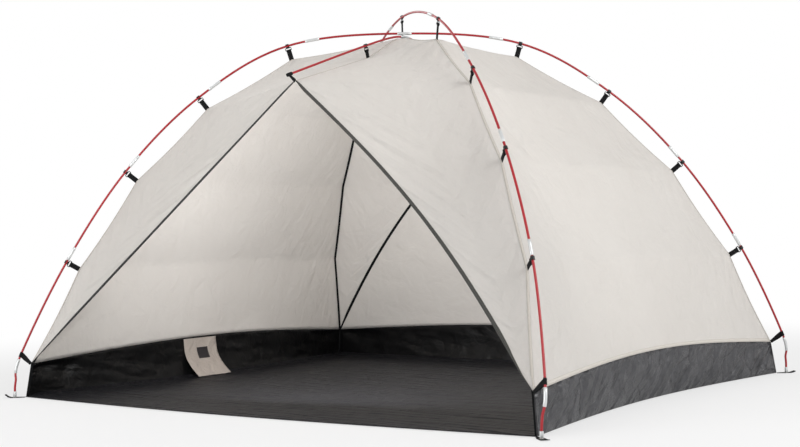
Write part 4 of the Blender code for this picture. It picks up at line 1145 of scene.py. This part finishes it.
def clipWork():
    cut = clipCut
    along, across, out = Vector((1, 0, 0)), Vector((0, 1, 0)), Vector((0, 0, 1))
    outer = cut["bore"] + cut["ringWall"]
    angles = [math.radians(cut["ringStart"] + cut["ringSweep"] * part / cut["ringParts"])
              for part in range(cut["ringParts"] + 1)]
    outline = [(outer * math.sin(angle), -outer * math.cos(angle)) for angle in angles]
    outline += [(cut["bore"] * math.sin(angle), -cut["bore"] * math.cos(angle))
                for angle in reversed(angles)]
    ring = plateWork(outline, across, out, cut["ringWidth"])
    half, top = cut["frameWidth"] / 2, cut["ringWidth"] / 2
    frameOutline = [(-top, -cut["frameTop"]), (top, -cut["frameTop"]), (half, -cut["shoulder"]),
                    (half, -cut["barBottom"]), (-half, -cut["barBottom"]),
                    (-half, -cut["shoulder"])]
    slotOutline = [(-cut["slotHalf"], -cut["slotTop"]), (cut["slotHalf"], -cut["slotTop"]),
                   (cut["slotHalf"], -cut["barTop"]), (-cut["slotHalf"], -cut["barTop"])]
    body = joinWork(plateWork(frameOutline, along, out, cut["frameThickness"]),
                    plateWork(slotOutline, along, out, cut["frameThickness"] * 2), "DIFFERENCE")
    return joinWork(body, ring, "UNION")


def clipMatrix(place, tangent, outward):
    across = outward.cross(tangent).normalized()
    return (Matrix.Translation(place)
            @ Matrix((tangent, across, outward)).transposed().to_4x4())


def archClipMatrix(corner, clip):
    seat, tangent = clipSeat(isUpper(corner), clip)
    return clipMatrix(onDiagonal(corner, seat), onDiagonal(corner, tangent),
                      onDiagonal(corner, -inwardOf(tangent)))


def ridgeClipMatrix(side):
    distance = side * tent["ridgeClipDistance"]
    tangent = ridgeTangent(distance)
    point = ridgePoint(distance)
    return clipMatrix(Vector((0, point.x, point.y)), Vector((0, tangent.x, tangent.y)),
                      Vector((0, -tangent.y, tangent.x)))


def centreClipMatrix():
    points = archPoints(True)
    share = clipCut["centreOffset"] / (halfDiagonal * tent["archShares"][-2][0])
    ends = [splinePoint(points, len(points) // 2, share + side * clipCut["centreStep"])
            for side in (1, -1)]
    tangent = (ends[1] - ends[0]).normalized()
    return clipMatrix(onDiagonal("front_right", (ends[0] + ends[1]) / 2),
                      onDiagonal("front_right", tangent),
                      onDiagonal("front_right", -inwardOf(tangent)))


clipPlaces = {"centre": centreClipMatrix(), "ridge_front": ridgeClipMatrix(-1),
              "ridge_rear": ridgeClipMatrix(1)}
for corner in corners:
    for clip in range(4):
        clipPlaces[f"{corner}_{clip + 1}"] = archClipMatrix(corner, clip)
sharedClip = clipWork()
for clipName, matrix in clipPlaces.items():
    work = sharedClip.copy()
    work.transform(matrix)
    piece = newPiece("snapClip_" + clipName, work, [mouldedNylon], "clip_" + clipName,
                     40)
    roundEdges(piece, clipCut["edge"])
    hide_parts("clip_" + clipName)
print("clips: nineteen are snapped on")

# Straps and other webbing
strapCut = {
    "half": 0.0096,
    "stripHalf": 0.0050,
    "stripLift": 0.0042,
    "thickness": 0.0009,
    "layerGap": 0.0005,
    "rootReach": 0.002,          # how far a strap's end goes into its seam
    "loopStart": 0.0275,         # a strap's two layers part this far below the rod
    "finColumns": 4,
    "finStart": 0.0006,
    "finWave": 0.0012,
    "finRipples": 75,
    "finWidth": 0.0095,
    "ridgeFinWidth": 0.008,
    "finThickness": 0.0014,
    "loop": ((0.0006, -0.0265), (0.0021, -0.0225), (0.0033, -0.0203), (0.0035, -0.0178),
             (0.0031, -0.0158), (0.0016, -0.0151), (0.0, -0.0150)),
}


# A ribbon along a path: each stop has its middle and the half width as a vector
def ribbonWork(work, stops, columns=6):
    lengths = runLengths([middle for middle, half in stops])

    def spot(row, column):
        middle, half = stops[row]
        share = column / columns
        edge = min(share, 1 - share) * 2 * half.length
        return middle + half * (share * 2 - 1), (edge, lengths[row]), 0.0

    layGrid(work, len(stops) - 1, columns, spot)


def loopStops(matrix, drop, half):
    side = [Vector((0, y, z)) for y, z in strapCut["loop"]]
    foot = [Vector((0, strapCut["layerGap"], -drop + step * (drop - strapCut["loopStart"]) / 4))
            for step in range(5)]
    half3d = matrix.to_3x3() @ Vector((half, 0, 0))
    near = foot + side
    far = [Vector((0, -point.y, point.z)) for point in reversed(near[:-1])]
    return [(matrix @ point, half3d) for point in near + far]


def buildStraps(name, loops, nodes):
    work = bmesh.new()
    for matrix, drop in loops:
        ribbonWork(work, loopStops(matrix, drop, strapCut["half"]))
    piece = newPiece(name, work, [webbing])
    thicken(piece, strapCut["thickness"])
    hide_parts(*nodes)
    return piece


# Black tape that binds a seam inside: a fin that hangs in along the line, and a strip laid flat
# over the seam
def buildSeamFin(name, line, inward, width=strapCut["finWidth"]):
    work = bmesh.new()
    lengths = runLengths(line)
    rows = len(line) - 1
    flat = [(place + turned[0] * strapCut["stripLift"], turned[1] * strapCut["stripHalf"])
            for place, turned in zip(line, inward)]
    columns = strapCut["finColumns"]
    ribbonWork(work, flat, columns)

    def spot(row, column):
        ripple = math.sin(lengths[row] * strapCut["finRipples"])
        sideways = inward[row][1] * (strapCut["finWave"] * ripple * column / columns)
        deep = strapCut["finStart"] + width * column / columns
        place = line[row] + inward[row][0] * deep + sideways
        return place, (width * (1 - column / columns), lengths[row]), 0.0

    layGrid(work, rows, columns, spot)
    piece = newPiece(name, work, [webbing])
    thicken(piece, strapCut["finThickness"])
    return piece


# The direction of a line of points at one of them
def runAt(line, index):
    return (line[min(index + 1, len(line) - 1)] - line[max(index - 1, 0)]).normalized()


for corner in corners:
    upper = isUpper(corner)
    drops = tent["upperDrops"] if upper else tent["lowerDrops"]
    loops = [(archClipMatrix(corner, clip), drops[clip] + strapCut["rootReach"])
             for clip in range(4)]
    straps = buildStraps("straps_" + corner, loops, ["seam_tape_" + corner])
    flatLine = [seamAt(corner, row / 8) for row in range(lastStep * 8 + 1)]
    foot = floorCorner() + Vector((-tent["wallFootInset"], 0.0012, 0))
    flatLine += [mix(flatLine[-1], foot, part / 8) for part in range(1, 9)]
    inward = []
    for index in range(len(flatLine)):
        run = runAt(flatLine, index)
        square = Vector((run.y, -run.x, 0)).normalized()
        inward.append((onDiagonal(corner, square), sideNormal(corner)))
    line = [onDiagonal(corner, point) for point in flatLine]
    fin = buildSeamFin("seamTape_" + corner, line, inward)
    extras += [straps, fin]
for name, side in (("front", -1), ("rear", 1)):
    loops = [(ridgeClipMatrix(side), tent["ridgeDrop"] + strapCut["rootReach"])]
    straps = buildStraps("strap_ridge_" + name, loops, ["ridge_tape_" + name])
    line = [ridgeAt(side, row / 8) for row in range(0, apexStep * 8 - 1)]
    inward = []
    for index in range(len(line)):
        run = runAt(line, index)
        inward.append((Vector((0, run.z * side, -run.y * side)), Vector((1, 0, 0))))
    fin = buildSeamFin("ridgeTape_" + name, line, inward, strapCut["ridgeFinWidth"])
    extras += [straps, fin]

# Crown: a round patch under the crossing, and the strap that holds it up
crownCut = {"radius": 0.026, "segments": 40, "lift": 0.0012, "thickness": 0.0012,
            "strapGap": 0.001}
work = bmesh.new()
bmesh.ops.create_circle(work, cap_ends=True, cap_tris=False, segments=crownCut["segments"],
                        radius=crownCut["radius"])
bmesh.ops.translate(work, verts=work.verts, vec=(0, 0, tent["crownHeight"] + crownCut["lift"]))
crownPatch = newPiece("crownPatch", work, [webbing])
thicken(crownPatch, crownCut["thickness"])
centreMatrix = centreClipMatrix()
crownDrop = centreMatrix.translation.z - tent["crownHeight"] - crownCut["strapGap"]
crownStrap = buildStraps("strap_centre", [(centreMatrix, crownDrop)], ["crown_patch"])
extras += [crownPatch, crownStrap]

# Corner loops: webbing from the wall's corner round the pole
loopCut = {"radius": rodRadius + 0.0009, "poleHalf": 0.010, "neckHalf": 0.006,
           "thickness": 0.0012, "layerHalf": 0.0007, "neckReach": 0.0004, "opening": 26,
           "parts": 16}
for corner in corners:
    points = legPoints(isUpper(corner))
    seat = points[2]
    tangent = (points[3] - points[1]).normalized()
    inward = inwardOf(tangent)
    wallCorner = wallTopCorner()
    reach = (wallCorner - seat).normalized()
    square = Vector((-reach.y, reach.x, 0)).normalized()
    if square.dot(tangent) < 0:
        square = -square
    run, centre = onDiagonal(corner, tangent), onDiagonal(corner, seat)
    deep = run.cross(sideNormal(corner)).normalized()
    if deep.dot(onDiagonal(corner, inward)) < 0:
        deep = -deep
    side = run.cross(deep).normalized()
    if side.dot(sideNormal(corner)) < 0:
        side = -side
    neck = onDiagonal(corner, wallCorner - reach * loopCut["neckReach"])
    neckHalf = onDiagonal(corner, square) * loopCut["neckHalf"]
    poleHalf = run * loopCut["poleHalf"]
    ringStops = []
    for part in range(loopCut["parts"] + 1):
        sweep = 360 - 2 * loopCut["opening"]
        angle = math.radians(loopCut["opening"] + sweep * part / loopCut["parts"])
        place = centre + (deep * math.cos(angle) + side * math.sin(angle)) * loopCut["radius"]
        ringStops.append((place, poleHalf))
    first, final = ringStops[0][0], ringStops[-1][0]
    near = [(mix(neck + side * loopCut["layerHalf"], first, part / 5),
             mix(neckHalf, poleHalf, smooth(part / 4))) for part in range(5)]
    far = [(mix(final, neck - side * loopCut["layerHalf"], part / 5),
            mix(poleHalf, neckHalf, smooth((part - 1) / 4))) for part in range(1, 6)]
    work = bmesh.new()
    ribbonWork(work, near + ringStops + far)
    piece = newPiece("cornerLoop_" + corner, work, [webbing])
    thicken(piece, loopCut["thickness"])
    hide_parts("corner_loop_" + corner)
    extras.append(piece)


# A turned shape: a profile of radii and heights spun about the upright axis
def spinProfile(profile, steps, closed=False, merge=0.00001):
    work = bmesh.new()
    verts = [work.verts.new((radius, 0, height)) for radius, height in profile]
    edges = [work.edges.new(pair) for pair in zip(verts, verts[1:])]
    if closed:
        edges.append(work.edges.new((verts[-1], verts[0])))
    bmesh.ops.spin(work, geom=verts + edges, cent=(0, 0, 0), axis=(0, 0, 1), angle=math.tau,
                   steps=steps, use_merge=True)
    bmesh.ops.remove_doubles(work, verts=work.verts, dist=merge)
    bmesh.ops.recalc_face_normals(work, faces=work.faces)
    return work


# Apex cups: a sewn pocket over each end of the ridge pole, and its tail down to the apex
cupCut = {"bore": rodRadius + 0.0003, "wall": 0.0022, "depth": 0.022, "tailHalf": 0.007,
          "tailThickness": 0.0018, "tailSeat": 0.6, "apexGap": 0.001}
for name, side in (("front", -1), ("rear", 1)):
    end = side * tent["ridgeHalf"]
    tangent = ridgeTangent(end)
    run = Vector((0, tangent.x, tangent.y)) * side
    across = Vector((1, 0, 0))
    outer = cupCut["bore"] + cupCut["wall"]
    profile = [(0, 0.0034), (outer - 0.0015, 0.0033), (outer - 0.0004, 0.0024), (outer, 0.0010),
               (outer, -cupCut["depth"] + 0.0012), (outer - 0.0007, -cupCut["depth"]),
               (cupCut["bore"], -cupCut["depth"]), (cupCut["bore"], 0.0003), (0, 0.0003)]
    work = spinProfile(profile, 24, merge=0.00002)
    point = ridgePoint(end)
    turn = Matrix((across, run.cross(across), run)).transposed().to_4x4()
    work.transform(Matrix.Translation(Vector((0, point.x, point.y))) @ turn)
    piece = newPiece("apexCup_" + name, work, [webbing], smoothAngle=50)
    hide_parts("apex_cup_" + name)
    middle = ridgePoint(side * (tent["ridgeHalf"] - cupCut["depth"] / 2))
    seat = cupCut["bore"] + cupCut["wall"] * cupCut["tailSeat"]
    under = middle + Vector((tangent.y, -tangent.x)) * seat
    apex = Vector((side * tent["apexDistance"], tent["apexHeight"] - cupCut["apexGap"]))
    start, finish = Vector((0, under.x, under.y)), Vector((0, apex.x, apex.y))
    flatRun = (apex - under).normalized()
    half = Vector((0, -flatRun.y, flatRun.x)) * cupCut["tailHalf"]
    if half.dot(run) < 0:
        half = -half
    topHalf = run * cupCut["tailHalf"]
    work = bmesh.new()
    ribbonWork(work, [(mix(start, finish, part / 8), mix(topHalf, half, smooth(part / 8)))
                      for part in range(9)])
    tail = newPiece("apexTail_" + name, work, [webbing])
    thicken(tail, cupCut["tailThickness"])
    extras += [piece, tail]

# Corner tabs with an eyelet, and the pole tips that stand in them
tabCut = {"half": 0.012, "overhang": 0.036, "thickness": 0.0018, "hole": 0.0038,
          "seamGap": 0.0006, "lift": 0.0011, "neckShare": 0.55, "turnFrom": 0.012,
          "turnLength": 0.024, "parts": 32, "ringShares": (0.2, 0.6),
          "curls": {"front_left": 0.012, "front_right": 0.002, "rear_right": 0.006,
                    "rear_left": 0.005},
          "eyeletProfile": ((0.0040, 0.0004), (0.0039, 0.0022), (0.0046, 0.0030),
                            (0.0070, 0.0030), (0.0083, 0.0024), (0.0085, 0.0020),
                            (0.0085, 0.0004)),
          "tipProfile": ((0, 0.0004), (0.0017, 0.0004), (0.0026, 0.0014), (0.0026, 0.0033),
                         (0.0058, 0.0033), (0.0062, 0.0038), (0.0062, 0.0222),
                         (0.0058, 0.0229), (0.0048, 0.0233), (0, 0.0233))}
for corner in corners:
    axis = cornerAxis(corner)
    side = Vector((0, 0, 1)).cross(axis)
    start, finish = -tent["floorInset"] + tabCut["seamGap"], tabCut["overhang"]
    rim, hole = [], []
    for part in range(tabCut["parts"]):
        angle = math.tau * part / tabCut["parts"]
        x, y = math.cos(angle), math.sin(angle)
        stretch = 1 / max(abs(x), abs(y))
        u = x * stretch * (finish if x > 0 else -start)
        v = y * stretch * tabCut["half"]
        if x < 0:
            v *= 1 - tabCut["neckShare"] * smooth((-u - tabCut["turnFrom"])
                                                  / tabCut["turnLength"])
        rim.append((u, v))
        hole.append((x * tabCut["hole"], y * tabCut["hole"]))
    work = bmesh.new()
    loops = []
    between = [[(mix(near[0], far[0], share), mix(near[1], far[1], share))
                for near, far in zip(hole, rim)] for share in tabCut["ringShares"]]
    for ring in [hole] + between + [rim]:
        verts = []
        for u, v in ring:
            turned = max((u - tabCut["turnFrom"]) / tabCut["turnLength"], 0)
            lift = tabCut["curls"][corner] * turned ** 2
            verts.append(work.verts.new(axis * (halfDiagonal + u) + side * v
                                        + Vector((0, 0, tabCut["lift"] + lift))))
        edges = [work.edges.new((verts[part], verts[(part + 1) % len(verts)]))
                 for part in range(len(verts))]
        loops.append(edges)
    for inner, outer in zip(loops, loops[1:]):
        bmesh.ops.bridge_loops(work, edges=inner + outer)
    uvLayer = work.loops.layers.uv.verify()
    for face in work.faces:
        for loop in face.loops:
            loop[uvLayer].uv = (loop.vert.co.dot(axis) - halfDiagonal, loop.vert.co.dot(side))
    turnOutward(work, lambda point: Vector((0, 0, 1)))
    tab = newPiece("cornerTab_" + corner, work, [webbing])
    thicken(tab, tabCut["thickness"])
    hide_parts("corner_tab_" + corner)
    work = spinProfile(tabCut["eyeletProfile"], 32, closed=True)
    bmesh.ops.translate(work, verts=work.verts, vec=axis * halfDiagonal)
    newPiece("eyelet_" + corner, work, [nickel], smoothAngle=50)
    work = spinProfile(tabCut["tipProfile"], 28)
    bmesh.ops.translate(work, verts=work.verts, vec=axis * halfDiagonal)
    tip = newPiece("poleTip_" + corner, work, [drawnAluminium],
                   smoothAngle=50)
    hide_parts("pole_tip_" + corner)
print("webbing: straps, loops, cups and corner tabs are sewn on")

# Flap: hangs inside the left wall from its top seam, and its foot stands off over the floor
flapCut = {
    "front": -0.185, "rear": 0.010, "drop": 0.005, "gap": 0.0018, "hem": 0.1651, "foot": 0.0095,
    "columns": 28, "rows": 24, "width": 0.195, "length": 0.21, "thickness": 0.0010,
    "wave": 0.0035, "waveBack": -0.001, "waves": 9, "wavePhase": 0.6, "waveFrom": 0.25,
    "waveReach": 0.6,
    # how far the flap stands off the wall, down its length
    "standOffs": ((0.0, 0.0), (0.20, 0.0030), (0.40, 0.0075), (0.60, 0.0180), (0.80, 0.0370),
                  (1.0, 0.0640)),
}


def flapRow(column):
    wallFront = onDiagonal("front_left", wallTopCorner()).y
    placeY = mix(flapCut["front"], flapCut["rear"], column / flapCut["columns"])
    share = (placeY - wallFront) / (-2 * wallFront)
    top = wallPoint("left", share, 1)
    points = []
    for depth, standOff in flapCut["standOffs"]:
        place = wallPoint("left", share, 1 - depth)
        place.x += flapCut["gap"] + standOff
        place.z = mix(top.z - flapCut["drop"], flapCut["foot"], depth)
        points.append(place)
    return points


def flapPoint(across, down):
    points = flapRow(across * flapCut["columns"])
    place = down * (len(points) - 1)
    index = min(int(place), len(points) - 2)
    spot = splinePoint(points, index, place - index)
    ripple = math.sin(across * flapCut["waves"] + flapCut["wavePhase"])
    grown = smooth((down - flapCut["waveFrom"]) / flapCut["waveReach"])
    spot.x += max(flapCut["wave"] * ripple * grown, flapCut["waveBack"])
    spot.z = min(spot.z, flapCut["hem"])                   # below the line it swings about
    return spot


def flapSpot(row, column):
    across, down = column / flapCut["columns"], row / flapCut["rows"]
    edge, hang = min(across, 1 - across) * flapCut["width"], down * flapCut["length"]
    return flapPoint(across, down), (min(edge, flapCut["length"] - hang), hang), 0.0


work = bmesh.new()
layGrid(work, flapCut["rows"], flapCut["columns"], flapSpot)
turnOutward(work, lambda point: Vector((1, 0, 0.2)))
flap = newPiece("storageFlap", work, [flapCloth], "storage_flap")
thicken(flap, flapCut["thickness"])
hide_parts("storage_flap")

# Label: a plain dark tab sewn on the flap
labelCut = {"across": (0.37, 0.70), "down": (0.27, 0.57), "parts": 12, "lift": 0.0012,
            "thickness": 0.0007, "width": 0.066, "height": 0.061}


def labelSpot(row, column):
    parts = labelCut["parts"]
    across = mix(*labelCut["across"], column / parts)
    down = mix(*labelCut["down"], row / parts)
    spot = flapPoint(across, down)
    ahead = flapPoint(across + 0.01, down) - spot
    below = flapPoint(across, down + 0.01) - spot
    normal = ahead.cross(below).normalized()
    normal = normal if normal.x > 0 else -normal
    width, height = labelCut["width"], labelCut["height"]
    wide, tall = column / parts * width, row / parts * height
    edge = min(wide, width - wide, tall, height - tall)
    return spot + normal * labelCut["lift"], (edge, tall), 0.0


work = bmesh.new()
layGrid(work, labelCut["parts"], labelCut["parts"], labelSpot)
turnOutward(work, lambda point: Vector((1, 0, 0.2)))
label = newPiece("flapLabel", work, [wovenTab], "storage_flap")
thicken(label, labelCut["thickness"])
print("flap: hung on the left wall")

# Studio: a white floor that keeps a soft shadow, and a white surround. The floor's own shading
# fades to plain white away from the tent, so that no horizon shows.
studio = {"surround": 0.54, "key": 208, "fill": 118, "side": 50, "door": 15.5, "paper": 0.80,
          "keep": 0.45, "fadeFrom": 1.5, "fadeTo": 4.2, "floorSize": 60, "floorHeight": -0.0005}
world = bpy.data.worlds.new("surround")
bpy.context.scene.world = world
world.use_nodes = True
tree = world.node_tree
tree.nodes.clear()
path = addNode(tree, "ShaderNodeLightPath")
lamp = addNode(tree, "ShaderNodeBackground",
               {"Color": (1, 1, 1, 1), "Strength": studio["surround"]})
seen = addNode(tree, "ShaderNodeBackground", {"Color": (1, 1, 1, 1), "Strength": 1.0})
blend = addNode(tree, "ShaderNodeMixShader", {}, {0: path.outputs["Is Camera Ray"],
                                                  1: lamp.outputs[0], 2: seen.outputs[0]})
addNode(tree, "ShaderNodeOutputWorld", {}, {"Surface": blend.outputs[0]})

floorWork = bmesh.new()
bmesh.ops.create_grid(floorWork, x_segments=1, y_segments=1,
                          size=studio["floorSize"])
floorMesh = bpy.data.meshes.new("studioFloor")
floorWork.to_mesh(floorMesh)
floorWork.free()
studioFloor = bpy.data.objects.new("studioFloor", floorMesh)
bpy.context.scene.collection.objects.link(studioFloor)
studioFloor.location.z = studio["floorHeight"]
paper = bpy.data.materials.new("whitePaper")
paper.use_nodes = True
tree = paper.node_tree
shader = tree.nodes["Principled BSDF"]
shader.inputs["Base Color"].default_value = (studio["paper"],) * 3 + (1,)
shader.inputs["Roughness"].default_value = 0.9
shader.inputs["Specular IOR Level"].default_value = 0.0
path = addNode(tree, "ShaderNodeLightPath")
coords = addNode(tree, "ShaderNodeTexCoord")
away = addNode(tree, "ShaderNodeVectorMath", {"operation": "LENGTH"}, {0: coords.outputs["Object"]})
fade = addNode(tree, "ShaderNodeMapRange",
               {"interpolation_type": "SMOOTHSTEP", "From Min": studio["fadeFrom"],
                "From Max": studio["fadeTo"], "To Min": 1 - studio["keep"], "To Max": 1.0},
               {"Value": away.outputs["Value"]})
glow = addNode(tree, "ShaderNodeEmission", {"Color": (1, 1, 1, 1), "Strength": 1.0})
share = addNode(tree, "ShaderNodeMath", {"operation": "MULTIPLY"},
                {0: path.outputs["Is Camera Ray"], 1: fade.outputs[0]})
mixed = addNode(tree, "ShaderNodeMixShader", {}, {0: share.outputs[0], 1: shader.outputs[0],
                                                  2: glow.outputs[0]})
tree.links.new(mixed.outputs[0], tree.nodes["Material Output"].inputs["Surface"])
floorMesh.materials.append(paper)


def addLamp(name, place, target, size, power):
    data = bpy.data.lights.new(name, "AREA")
    data.shape = "RECTANGLE"
    data.size, data.size_y = size
    data.energy = power
    lampObject = bpy.data.objects.new(name, data)
    bpy.context.scene.collection.objects.link(lampObject)
    lampObject.location = place
    lampObject.rotation_euler = (Vector(target) - Vector(place)).to_track_quat("-Z", "Y").to_euler()
    lampObject.visible_camera = False


addLamp("keySoftbox", (5.6, -0.6, 4.0), (0.2, 0, 0.6), (3.0, 3.0), studio["key"])
addLamp("frontFill", (-2.2, -5.5, 2.2), (0, 0, 0.5), (3.5, 2.5), studio["fill"])
addLamp("leftFill", (-5.0, 1.5, 3.5), (0, 0, 0.6), (3.0, 3.0), studio["side"])
addLamp("doorwayFill", (0.05, -0.78, 0.42), (-0.15, 0.7, 0.66), (0.8, 0.5), studio["door"])
bpy.context.scene.view_settings.view_transform = "Standard"
print("studio: camera, floor and lamps are set")
